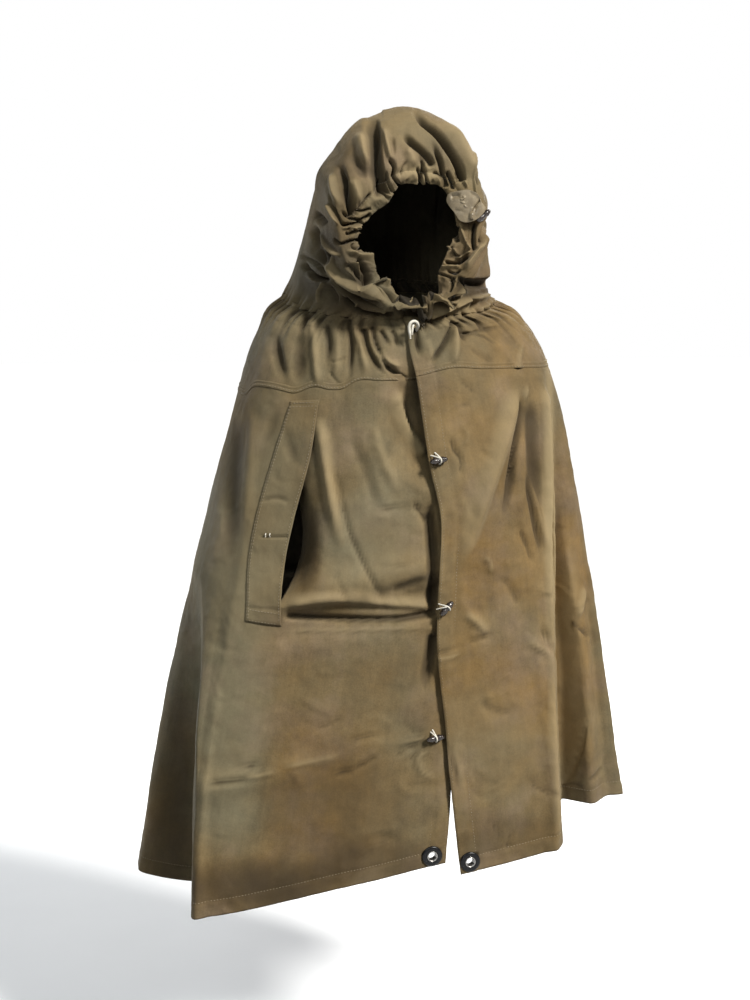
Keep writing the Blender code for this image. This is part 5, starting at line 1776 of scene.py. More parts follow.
@dataclass
class Cape:
    """The body of the poncho: neck casing, yoke, lower cape with its arm slit, and the arm flap."""

    wardrobe: Wardrobe
    drape: Drape
    form: CapeForm = field(default_factory=CapeForm)
    cloth_width: float = 1.90
    full_ridge: float = 0.006
    back_drop: float = 0.45

    # The gathered neck casing
    casing_drop: float = 0.018
    casing_rise: float = 0.004
    casing_stand: float = 1.6
    casing_puff: float = 0.0032
    casing_roundness: float = 0.7
    casing_tuck: float = 0.003
    casing_grid: tuple[int, int] = (12, 521)
    casing_gathers: Gathers = Gathers(50, 0.0118, 0.034, 5)
    fine_gathers: Gathers = Gathers(86, 0.0045, 0.014, 8)
    gather_fade: float = 1.6
    cord_groove: float = 0.0035
    groove_width: float = 0.006

    # The level seam, where the yoke laps the lower cape
    yoke_drop: float = 0.131
    yoke_rows: tuple[int, int] = (40, 4)
    yoke_columns: int = 501
    seam_overlap: float = 0.003
    seam_edge: float = 0.004
    seam_run: float = 0.006
    seam_tuck: float = 0.010
    seam_lift: float = 0.0009
    seam_under: float = 0.0016
    seam_under_from: float = 0.002
    seam_rises: tuple[Shift, ...] = rows(
        Shift,
        (-14.0, 0.0075), (5.0, 0.0075), (12.3, 0.010), (21.0, 0.012), (25.0, 0.002), (30.0, 0.001),
        (35.6, 0.007), (44.4, -0.002), (49.0, 0.002), (58.0, 0.008), (68.0, 0.007), (74.0, -0.005),
        (86.0, -0.007), (120.0, 0.004), (170.0, -0.003), (220.0, 0.005), (270.0, -0.002), (303.0, 0.002),
        (319.0, 0.008), (336.5, 0.015), (348.0, 0.0215), (358.0, 0.015), (364.0, 0.011),
    )
    seam_spread: float = 0.050

    # Hem and front facings, and the dents of their stitches
    hem_turn_up: float = 0.026
    hem_step: float = 0.0005
    facing: float = 0.030
    facing_step: float = 0.0010
    step_run: float = 0.004
    edge_stitch: float = 0.004
    stitch_dent: float = 0.0011
    stitch_dent_width: float = 0.0030
    stitch_steps: tuple[float, float] = (0.0004, 0.0008)

    # The right front, tucked under the left one
    under_tuck: float = 0.012
    tuck_from: float = 0.06
    tuck_run: float = 0.08
    lap_margin: float = 1.5
    lap_run: float = 5.0

    # The arm slit
    slit_share: float = 13.0 / 96.0
    slit_drops: tuple[float, float] = (0.160, 0.470)
    slit_skew: float = 2.4
    slit_sharpness: float = 1.6
    slit_dent: float = 0.012
    slit_dent_turns: float = 28.0
    slit_roll: float = 0.052
    slit_roll_turns: float = 12.0
    slit_open_turns: float = 3.2

    # Rows of the lower cape, and where they lie closer together: (drop, width, how much closer)
    lower_rows: int = 156
    close_rows: Path = ((0.49, 0.06, 0.9), (0.95, 0.02, 1.4), (0.135, 0.02, 1.2))

    # The arm flap
    flap_sections: tuple[FlapSection, ...] = rows(
        FlapSection,
        (0.146, 33.6, 44.8), (0.228, 33.2, 47.2), (0.329, 35.2, 49.2), (0.380, 35.8, 48.8),
        (0.475, 34.8, 45.8), (0.498, 34.4, 45.2),
    )
    flap_width: float = 0.07
    flap_thickness: float = 0.0022
    flap_grid: tuple[int, int] = (121, 41)
    flap_ridge: float = 0.004
    flap_slant: float = 0.016
    flap_pivot: float = 0.35
    flap_sewn_lift: float = 0.0032
    flap_free_lift: float = 0.0110
    flap_edge_sink: float = 0.0018
    flap_edge_run: float = 0.006
    flap_stitch_steps: tuple[float, float] = (0.004, 0.0008)
    flap_lines: tuple[float, ...] = (0.05, 0.90, 0.96)
    flap_top_lines: tuple[float, ...] = (0.004, 0.010)
    flap_low_lines: tuple[float, ...] = (0.004, 0.022)
    tacks: tuple[float, ...] = (0.49, 0.60)
    tack_drops: tuple[float, float] = (0.3520, 0.3580)
    tack_radius: float = 0.0009
    tack_arch: float = 0.0014
    tack_sink: float = 0.0002

    # The eyelets' holes
    eyelets: tuple[EyeletPlace, ...] = (EyeletPlace("right", -5.05, 0.946), EyeletPlace("left", 346.8, 0.946))
    eyelet_cut: float = 0.0112

    # Sharp edges of the two front panels, the cloth behind each, and the fold at the left side
    fold_edges: tuple[tuple[FoldEdge, ...], ...] = (
        rows(
            FoldEdge,
            (0.430, 75.0, 16.0, 5.0, 0.0, 0.0), (0.500, 70.0, 16.0, 5.0, -0.002, 0.022),
            (0.580, 63.0, 14.0, 5.0, -0.004, 0.036), (0.680, 58.0, 10.0, 5.0, -0.005, 0.038),
            (0.760, 54.0, 7.0, 5.0, -0.003, 0.033), (0.840, 51.0, 5.0, 5.0, -0.004, 0.020),
            (0.965, 48.5, 5.0, 5.0, -0.002, 0.012),
        ),
        rows(
            FoldEdge,
            (0.680, 60.0, 6.0, 9.0, 0.0, 0.0), (0.840, 57.0, 6.0, 9.0, 0.007, 0.0),
            (0.965, 55.0, 6.0, 9.0, 0.014, 0.0),
        ),
        rows(
            FoldEdge,
            (0.140, 303.0, 5.0, 20.0, 0.0, 0.0), (0.200, 308.0, 5.0, 19.0, 0.003, 0.018),
            (0.250, 311.0, 5.0, 18.0, 0.007, 0.022), (0.350, 313.0, 5.0, 16.0, 0.004, 0.027),
            (0.440, 317.0, 5.0, 12.0, 0.003, 0.025), (0.580, 322.0, 5.0, 7.0, 0.004, 0.016),
            (0.760, 324.0, 5.0, 5.0, 0.002, 0.014), (0.965, 326.0, 5.0, 4.0, -0.005, 0.011),
        ),
        rows(
            FoldEdge,
            (0.600, 313.0, 12.0, 8.0, 0.0, 0.0), (0.760, 314.0, 14.0, 9.0, -0.019, 0.0),
            (0.860, 314.0, 15.0, 9.5, -0.028, 0.0), (0.965, 314.0, 15.0, 10.0, -0.034, 0.0),
        ),
        rows(
            FoldEdge,
            (0.190, 300.0, 9.0, 6.0, 0.0, 0.0), (0.350, 303.0, 9.0, 6.0, 0.0, -0.014),
            (0.700, 303.0, 9.0, 6.0, 0.0, -0.006), (0.965, 302.0, 9.0, 6.0, 0.0, 0.0),
        ),
        rows(
            FoldEdge,
            (0.380, 297.0, 4.0, 6.0, 0.0, 0.0), (0.640, 293.5, 4.0, 6.0, 0.0, 0.020),
            (0.965, 292.8, 4.0, 6.0, 0.0, 0.026),
        ),
        rows(
            FoldEdge,
            (0.380, 288.0, 6.0, 4.0, 0.0, 0.0), (0.640, 288.0, 6.0, 4.0, -0.006, -0.014),
            (0.965, 288.0, 6.0, 4.0, -0.008, -0.018),
        ),
    )
    fold_sharpness: float = 1.15

    def fold_pull(self, turn: Array, drop: Array) -> Array:
        """How the sharp folds and the seam's wander move the cloth.

        Args:
            turn: Degrees round the body.
            drop: Metres below the neck.

        Returns:
            Shifts along the last axis.
        """
        pull = np.zeros(turn.shape + (3,))
        for edge in self.fold_edges:
            at = np.clip(drop, edge[0].drop, edge[-1].drop)
            away = wrapped(turn - read(edge, at, "turn"))
            width = np.where(away < 0, read(edge, at, "before"), read(edge, at, "after"))
            near = (1.0 - np.clip(np.abs(away) / width, 0.0, 1.0)) ** self.fold_sharpness
            pull[..., 0] += read(edge, at, "aside") * near
            pull[..., 1] -= read(edge, at, "forward") * near
        pull[..., 2] = read(self.seam_rises, turn, "by") * bell(drop - self.yoke_drop, self.seam_spread)
        return pull

    def gather_relief(self, share: Array, drop: Array) -> Array:
        """Pleats that hang from the neck drawcord, which lies in the middle of its casing.

        Args:
            share: Place between the front edges.
            drop: Metres below the neck.

        Returns:
            Heights in metres.
        """
        away = np.abs(drop - 0.5 * self.casing_drop)
        fading = eased(self.gather_fade * (1.0 - drop / self.yoke_drop))
        pleats = self.casing_gathers.relief(share, away) + self.fine_gathers.relief(share, away)
        return pleats * fading - self.cord_groove * bell(away, self.groove_width)

    def edge_relief(self, share: Array, drop: Array) -> Array:
        """Folded facings of the front edges and the turned-up hem, with the grooves that their stitches draw.

        Args:
            share: Place between the front edges.
            drop: Metres below the neck.

        Returns:
            Heights in metres.
        """
        turn = self.form.turn(share, drop)
        right, left = self.form.edges(drop)
        inside = np.minimum(turn - right, left - turn) * self.form.degree(drop)
        above = self.form.hem_drop - drop
        relief = self.facing_step * eased((self.facing - inside) / self.step_run)
        relief = relief + self.hem_step * eased((self.hem_turn_up - above) / self.step_run)
        for off in (inside - self.facing, above - self.hem_turn_up, inside - self.edge_stitch):
            relief = relief - self.stitch_dent * bell(off, self.stitch_dent_width)
        return relief

    def slit_side(self, share: Array, drop: Array, turns: float) -> Array:
        """How near a place is to the front edge of the arm slit, from 0 at so many turns away to 1.

        Args:
            share: Place between the front edges.
            drop: Metres below the neck.
            turns: How far the nearness runs.

        Returns:
            Nearness, which fades at the ends of the slit.
        """
        first, last = self.slit_drops
        opened = np.sin(math.pi * np.clip((drop - first) / (last - first), 0.0, 1.0) ** self.slit_skew)
        ahead = self.form.turn(self.slit_share, drop) - self.form.turn(share, drop)
        return np.clip(1.0 - ahead / turns, 0.0, 1.0) ** self.slit_sharpness * opened

    def under_lap(self, turn: Array, drop: Array) -> Array:
        """How far a place of the right front lies under the left one, from 0 to 1."""
        return eased((self.form.edges(drop)[1] - 360.0 + self.lap_margin - turn) / self.lap_run)

    def relief(self, share: Array, drop: Array, before_slit: Array) -> tuple[Array, Array, Array]:
        """Base points of the cape and what is added to them.

        Args:
            share: Place between the front edges.
            drop: Metres below the neck.
            before_slit: Whether a place is on the front side of the arm slit.

        Returns:
            Base points, the way out of the cloth and the fine relief.
        """
        turn = self.form.turn(share, drop)
        dent = np.where(before_slit, self.slit_side(share, drop, self.slit_dent_turns), 0.0)
        roll = np.where(before_slit, self.slit_side(share, drop, self.slit_roll_turns), 0.0)
        right_front = share < 0.5
        tuck = np.where(right_front, self.under_lap(turn, drop), 0.0)
        tuck = tuck * eased((drop - self.tuck_from) / self.tuck_run)
        sunk = self.slit_dent * dent + self.slit_roll * roll + self.under_tuck * tuck
        base = self.form.point(turn - self.slit_open_turns * roll, drop, -sunk) + self.fold_pull(turn, drop)
        out = self.form.out(turn, drop)
        fine = self.gather_relief(share, drop) + self.edge_relief(share, drop) + self.drape.small(base)
        on_yoke = drop < self.yoke_drop
        lower = ~on_yoke
        panels = {Panel.YOKE: on_yoke, Panel.RIGHT: lower & right_front, Panel.LEFT: lower & ~right_front}
        for panel, mask in panels.items():
            if mask.any():
                fine[mask] += self.drape.crease(panel, base[mask], out[mask])
        degree = float(self.form.degree(self.back_drop))
        place = np.stack((turn * degree, drop), axis=-1)
        return base, out, fine + self.drape.hidden(BACK_CREASES, base, out, place, (degree, 1.0))

    def surface(self, share: Array, drop: Array, lift: Array | float = 0.0, at_slit: bool = False) -> Array:
        """Points of the dressed cape.

        Args:
            share: Place between the front edges.
            drop: Metres below the neck.
            lift: Metres out of the cloth.
            at_slit: Whether the slit's own column belongs to its front side.

        Returns:
            Points along the last axis.
        """
        share, drop = paired(share, drop)
        before = share < self.slit_share + (TINY if at_slit else -TINY)
        base, out, fine = self.relief(share, drop, before)
        return base + out * (fine + lift)[..., None]

    def sheet(self, name: str, shares: Array, drops: Array, lift: Array) -> ClothSheet:
        """A sheet of the cape on a grid of shares and drops.

        Args:
            name: The piece's name.
            shares: Columns.
            drops: Rows.
            lift: Metres out of the cloth, for each row.

        Returns:
            The sheet.
        """
        share, drop = np.meshgrid(shares, drops)
        base, out, fine = self.relief(share, drop, share < self.slit_share - TINY)
        points = base + out * (fine + lift[:, None])[..., None]
        tone = self.drape.tone(base, out, fine, self.full_ridge)
        return ClothSheet(name, points, tone, np.stack((share * self.cloth_width, drop), axis=-1))

    def neck_casing(self) -> None:
        """The band that the neck drawcord runs in."""
        line_count, columns = self.casing_grid
        drops = np.linspace(-self.casing_rise, self.casing_drop + self.seam_overlap, line_count)
        across = np.clip(drops / self.casing_drop, 0.0, 1.0)
        lift = self.casing_puff * np.sin(math.pi * across) ** self.casing_roundness
        lift = lift - self.casing_tuck * eased(-drops / self.casing_rise)
        sheet = self.sheet("neck_casing_cloth", np.linspace(0.0, 1.0, columns), np.maximum(drops, 0.0), lift)
        sheet.points[..., 2] += np.maximum(-drops, 0.0)[:, None] * self.casing_stand
        piece = self.wardrobe.cloth(sheet, "neck_casing")

    def yoke(self) -> None:
        """The shoulder stretch from the neck casing to the level seam, which it laps."""
        open_rows, seam_rows = self.yoke_rows
        drops = np.concatenate((
            np.linspace(self.casing_drop - self.seam_overlap, self.yoke_drop - self.seam_run, open_rows),
            np.linspace(self.yoke_drop - self.seam_edge, self.yoke_drop, seam_rows),
        ))
        lift = self.seam_lift * eased(1.0 + (drops - self.yoke_drop) / self.seam_run)
        drops = np.minimum(drops, self.yoke_drop - NUDGE)
        sheet = self.sheet("yoke_cloth", np.linspace(0.0, 1.0, self.yoke_columns), drops, lift)
        piece = self.wardrobe.cloth(sheet, "yoke")

    def lower_shares(self) -> tuple[Array, int]:
        """Columns of the lower cape, closer together at the front.

        Returns:
            The columns and the number of the one that the arm slit is cut on.
        """
        slit = self.slit_share
        stretches = ((0.0, slit, 64), (slit, 0.31, 70), (0.31, 0.74, 56), (0.74, 1.0, 118))
        columns = [np.linspace(start, end, count, endpoint=False) for start, end, count in stretches]
        return np.concatenate((*columns, [1.0])), stretches[0][2]

    def lower_drops(self) -> Array:
        """Rows of the lower cape, closer together at its folds, seam and hem.

        Returns:
            Their drops, with a row at each end of the arm slit.
        """
        fine = np.linspace(self.yoke_drop - self.seam_tuck, self.form.hem_drop, 2000)
        weight = np.ones(fine.shape)
        for drop, width, closer in self.close_rows:
            weight = weight + closer * bell(fine - drop, width)
        drops = np.interp(np.linspace(0.0, 1.0, self.lower_rows), np.cumsum(weight) / weight.sum(), fine)
        for end in self.slit_drops:
            drops[np.abs(drops - end).argmin()] = end
        return drops

    def lower_cape(self) -> None:
        """The cape below the seam, with the arm slit and the eyelets' holes in it."""
        shares, slit_column = self.lower_shares()
        drops = self.lower_drops()
        under = eased((self.yoke_drop + self.seam_under_from - drops) / self.seam_run)
        lowered = np.maximum(drops, self.yoke_drop + NUDGE)
        sheet = self.sheet("lower_cape_cloth", shares, lowered, -self.seam_under * under)
        sheet.points[..., 2] += np.maximum(self.yoke_drop - drops, 0.0)[:, None]
        first, last = (int(np.abs(drops - end).argmin()) for end in self.slit_drops)
        edge = self.surface(self.slit_share, drops[first + 1:last], at_slit=True)
        sheet.slit = Slit(slit_column, first, edge)
        sheet.holes = tuple((self.eyelet_point(place), self.eyelet_cut) for place in self.eyelets)
        piece = self.wardrobe.cloth(sheet, "lower_cape")

    def share(self, turn: float, drop: float) -> float:
        """The share of a turn at a drop."""
        right, left = (float(edge) for edge in self.form.edges(drop))
        return (turn - right) / (left - right)

    def eyelet_point(self, place: EyeletPlace) -> Array:
        """The point of the cloth in the middle of an eyelet."""
        return self.surface([self.share(place.turn, place.drop)], [place.drop])[0]

    def flap_surface(self, across: Array, drop: Array) -> Array:
        """Points of the arm flap, across from 0 at the free edge to 1 at the sewn one."""
        return self.flap_relief(across, drop)[0]

    def flap_relief(self, across: Array, drop: Array) -> tuple[Array, Array, Array]:
        """The arm flap's points.

        Args:
            across: 0 at the free edge to 1 at the sewn one.
            drop: Metres below the neck.

        Returns:
            Points, the way out of the flap and its fine relief.
        """
        across, drop = paired(across, drop)
        first, last = self.flap_sections[0].drop, self.flap_sections[-1].drop
        free = read(self.flap_sections, drop, "free")
        turn = free + across * (read(self.flap_sections, drop, "sewn") - free)
        down = np.clip((drop - first) / (last - first), 0.0, 1.0)
        stand = (1.0 - np.clip(across, 0.0, 1.0)) ** 1.5 * np.sin(math.pi * down) ** 0.6
        lift = self.flap_sewn_lift + (self.flap_free_lift - self.flap_sewn_lift) * stand
        edge = np.minimum((1.0 - across) * self.flap_width, np.minimum(down, 1.0 - down) * (last - first))
        lift = lift - self.flap_edge_sink * eased(1.0 - edge / self.flap_edge_run)
        drop = drop + self.flap_slant * (self.flap_pivot - across) * down**3
        base = self.form.point(turn, drop, lift)
        out = self.form.out(turn, drop)
        fine = 0.5 * self.drape.small(base) + self.drape.crease(Panel.FLAP, base, out)
        return base + out * fine[..., None], out, fine

    def arm_flap(self) -> None:
        """The flap over the arm slit."""
        line_count, columns = self.flap_grid
        drops = np.linspace(self.flap_sections[0].drop, self.flap_sections[-1].drop, line_count)
        across, drop = np.meshgrid(np.linspace(0.0, 1.0, columns), drops)
        points, out, fine = self.flap_relief(across, drop)
        tone = self.drape.tone(points, out, fine, self.flap_ridge)
        uv = np.stack((across * self.flap_width, drop), axis=-1)
        sheet = ClothSheet("arm_flap_cloth", points, tone, uv, thickness=self.flap_thickness)
        piece = self.wardrobe.cloth(sheet, "arm_flap")

    def edge_stitches(self) -> list[Mesh]:
        """Stitches along the seam, the hem and both front facings.

        Returns:
            Vertices and faces of each row.
        """
        thread = Thread()
        whole = np.linspace(0.004, 0.996, 1400)
        seam = np.full(whole.shape, self.yoke_drop - self.seam_overlap)
        hem = np.full(whole.shape, self.form.hem_drop - self.hem_turn_up)
        parts = [
            thread.sew(lambda s, d: self.surface(s, d, self.seam_lift), whole, seam, self.stitch_steps),
            thread.sew(self.surface, whole, hem, self.stitch_steps),
        ]
        down = np.linspace(self.yoke_drop + 0.004, self.form.hem_drop - 0.005, 700)
        right, left = self.form.edges(down)
        for inside in (self.edge_stitch, self.facing):
            offset = inside / self.form.degree(down) / (left - right)
            for share in (offset, 1.0 - offset):
                parts.append(thread.sew(self.surface, share, down, self.stitch_steps))
        return parts

    def flap_stitches(self) -> list[Mesh]:
        """Stitches along and across the arm flap.

        Returns:
            Vertices and faces of each row.
        """
        thread = Thread()
        first, last = self.flap_sections[0].drop, self.flap_sections[-1].drop
        along = np.linspace(first + self.flap_top_lines[0], last - self.flap_low_lines[0], 300)
        across = np.linspace(0.05, 0.95, 80)
        lines = [(np.full(along.shape, share), along) for share in self.flap_lines]
        drops = [first + below for below in self.flap_top_lines]
        drops += [last - above for above in self.flap_low_lines]
        lines += [(across, np.full(across.shape, drop)) for drop in drops]
        return [thread.sew(self.flap_surface, *line, self.flap_stitch_steps) for line in lines]

    def stitching(self) -> None:
        """Rows of stitches along the seam, the front facings, the hem and the flap."""
        parts = self.edge_stitches() + self.flap_stitches()
        dressed(joined("cape_stitching", parts, self.wardrobe.thread), Slot.CANVAS)

    def bar_tacks(self) -> None:
        """Two white bars of thread that tack the flap's cross crease."""
        drop = np.linspace(*self.tack_drops, 12)
        arch = np.sin(np.linspace(0.0, math.pi, len(drop)))[:, None]
        parts = []
        for across in self.tacks:
            at = np.full(drop.shape, across)
            out = outward(self.flap_surface, at, drop, 0.02, 0.002)
            line = self.flap_surface(at, drop) + out * (self.tack_arch * arch - self.tack_sink)
            parts.append(Twist(10, 0.006).tube(line, self.tack_radius))
        dressed(joined("flap_bar_tacks", parts, self.wardrobe.cord), Slot.CORD)

    def build(self) -> None:
        """Makes every piece of the cape."""
        self.neck_casing()
        self.yoke()
        self.lower_cape()
        self.arm_flap()
        self.stitching()
        self.bar_tacks()


@dataclass
class Hood:
    """The hood and its face casing."""

    wardrobe: Wardrobe
    drape: Drape
    form: HoodForm = field(default_factory=HoodForm)
    cloth_width: float = 1.10
    full_ridge: float = 0.007
    casing_reach: float = 0.065
    casing_puff: float = 0.0020
    casing_thickness: float = 0.0026
    casing_grid: tuple[int, int] = (16, 520)
    casing_overlap: float = 0.004
    crown_rows: int = 56
    crown_columns: int = 432
    close_reach: float = 0.34
    open_reach: float = 0.35
    crumple_depth: float = 0.0028
    crumple_reach: float = 0.20
    crumple_seeds: tuple[float, float] = (5.1, 8.3)
    crumples_round: float = 4.6
    crumples_back: float = 13.0
    small_crumple: float = 0.45
    pinch: float = 0.0035
    pinch_width: float = 0.018
    neck_gathers: Gathers = Gathers(50, 0.0118, 0.034, 5)
    neck_length: float = 0.45
    crease_end: float = 1.04
    crease_run: float = 0.08
    stitch_reaches: tuple[float, ...] = (0.006, 0.058)
    stitch_steps: tuple[float, float] = (0.15, 0.001)

    def crumple_relief(self, around: Array, reach: Array) -> Array:
        """Crumpled cloth that the face drawcord draws up: sharp little ridges that run out from the face.

        Args:
            around: Degrees round the hood.
            reach: 0 at the face to 1 at the neck.

        Returns:
            Heights in metres.
        """
        angle = np.radians(around)
        ring = np.stack((np.cos(angle), np.sin(angle)), axis=-1) * self.crumples_round
        place = np.concatenate((ring, (reach * self.crumples_back)[..., None]), axis=-1)
        broad = np.abs(ripple(place, 1.0, self.crumple_seeds[0]))
        small = np.abs(ripple(place, self.small_crumple, self.crumple_seeds[1]))
        folded = 0.5 - 2.0 * broad + 0.35 - 0.9 * small
        pinched = self.pinch * bell(reach - self.casing_reach, self.pinch_width)
        return self.crumple_depth * folded * eased(1.0 - reach / self.crumple_reach) - pinched

    def relief(self, around: Array, reach: Array, puff: Array | float) -> tuple[Array, Array, Array]:
        """Base points of the hood and what is added to them.

        Args:
            around: Degrees round the hood.
            reach: 0 at the face to 1 at the neck.
            puff: Metres out of the cloth.

        Returns:
            Base points, the way out of the cloth and the fine relief.
        """
        around, reach = paired(around, reach)
        out = self.form.out(around, reach)
        base = self.form.section_point(around, reach)
        share = ((around + 180.0) % 360.0) / 360.0
        at_neck = self.neck_gathers.relief(share, (1.0 - reach) * self.neck_length)
        base = base + out * (self.form.fold_relief(around, reach) + puff)[..., None]
        fine = self.crumple_relief(around, reach) + self.drape.small(base)
        shown = eased((self.crease_end - reach) / self.crease_run)
        fine = fine + self.drape.crease(Panel.HOOD, base, out) * shown
        degree, length = self.form.degree(), self.form.fold_length
        place = np.stack((wrapped(around) * degree, reach * length), axis=-1)
        fine = fine + self.drape.hidden(NAPE_CREASES, base, out, place, (degree, length))
        return base + level(out) * at_neck[..., None], out, fine

    def surface(self, around: Array, reach: Array) -> Array:
        """Points of the dressed hood."""
        base, out, fine = self.relief(around, reach, 0.0)
        return base + out * fine[..., None]

    def sheet(self, name: str, columns: int, reaches: Array, puff: Array) -> ClothSheet:
        """A ring of the hood's cloth.

        Args:
            name: The piece's name.
            columns: Columns round it.
            reaches: Rows.
            puff: Metres out of the cloth, for each row.

        Returns:
            The sheet.
        """
        turns = np.arange(columns + 1) * 360.0 / columns
        around, reach = np.meshgrid(turns[:-1], reaches)
        base, out, fine = self.relief(around, reach, puff[:, None])
        u, v = np.meshgrid(turns / 360.0 * self.cloth_width, reaches * self.form.fold_length)
        tone = self.drape.tone(base, out, fine, self.full_ridge)
        return ClothSheet(name, base + out * fine[..., None], tone, np.stack((u, v), axis=-1), ring=True)

    def casing(self) -> None:
        """The band round the face that the drawcord runs in."""
        line_count, columns = self.casing_grid
        across = np.linspace(0.0, 1.0, line_count)
        puff = self.casing_puff * np.sin(math.pi * across)
        sheet = self.sheet("hood_casing_cloth", columns, self.casing_reach * across, puff)
        sheet.thickness = self.casing_thickness
        piece = self.wardrobe.cloth(sheet, "hood_casing")

    def crown(self) -> None:
        """The hood from the face casing to the neck."""
        near_face = np.linspace(self.casing_reach - self.casing_overlap, self.close_reach, self.crown_rows)
        reaches = np.concatenate((near_face, np.linspace(self.open_reach, 1.0, self.crown_rows)))
        sheet = self.sheet("hood_cloth", self.crown_columns, reaches, np.zeros(reaches.shape))
        piece = self.wardrobe.cloth(sheet, "hood")

    def stitching(self) -> None:
        """The rows of stitches that make the face casing."""
        thread = Thread()
        around = np.linspace(-179.0, 179.0, 1500)
        lines = [np.full(around.shape, reach) for reach in self.stitch_reaches]
        parts = [thread.sew(self.surface, around, line, self.stitch_steps) for line in lines]
        dressed(joined("hood_stitching", parts, self.wardrobe.thread), Slot.CANVAS)

    def build(self) -> None:
        """Makes every piece of the hood."""
        self.casing()
        self.crown()
        self.stitching()


@dataclass(frozen=True)
class Toggle:
    """A turned toggle: rounded ends, a swelling and a groove each side, and a waist for its loop."""

    length: float = 0.030
    radius: float = 0.0055
    end_radius: float = 0.0030
    waist_radius: float = 0.0042
    groove: float = 0.0003
    sides: int = 24

    def mesh(self) -> Mesh:
        """Turns the toggle about Z.

        Returns:
            Vertices and faces.
        """
        half = self.length / 2
        shoulder = self.end_radius * 1.25
        upper = ((0.0, half), (self.end_radius * 0.7, half * 0.97), (shoulder, half * 0.82),
                 (shoulder + 0.0006 - self.groove, half * 0.72), (shoulder + 0.0009, half * 0.64),
                 (self.radius, half * 0.45), (self.radius * 0.88, half * 0.22), (self.waist_radius, 0.0))
        profile = upper + tuple((radius, -height) for radius, height in upper[-2::-1])
        return turned(smooth_path(profile, steps=4), self.sides)


@dataclass(frozen=True)
class Eyelet:
    """A two-part eyelet: a black domed ring with a bare rolled lip, and a washer inside the cloth."""

    radius: float = 0.0175
    hole: float = 0.0064
    barrel: float = 0.0098
    lip: float = 0.0026
    depth: float = 0.0095
    sides: int = 48

    def profile(self) -> tuple[list[tuple[float, float]], list[tuple[float, float]]]:
        """Outlines, as radius and height: the bare lip with its barrel, and the black ring with its washer.

        Returns:
            Two closed outlines.
        """
        bare = [(self.hole, -self.depth), (self.hole, 0.0012), (self.hole + 0.0004, 0.0026),
                (self.hole + 0.0012, 0.0036), (self.hole + 0.0022, 0.0038), (self.hole + self.lip, 0.0030),
                (self.hole + self.lip, 0.0010), (self.hole + 0.0012, -self.depth), (self.hole, -self.depth)]
        inside = self.hole + self.lip - 0.0004
        ring = [(inside, 0.0008), (inside, 0.0030), (inside + 0.0020, 0.0034), (self.radius - 0.0030, 0.0033),
                (self.radius - 0.0012, 0.0027), (self.radius - 0.0002, 0.0017), (self.radius, 0.0006),
                (self.radius - 0.0012, 0.0002), (self.barrel, 0.0002), (self.barrel, -0.0034),
                (self.radius - 0.0012, -0.0034), (self.radius, -0.0040), (self.radius - 0.0012, -0.0050),
                (inside + 0.0008, -0.0052), (inside, -0.0040), (inside, 0.0008)]
        return bare, ring


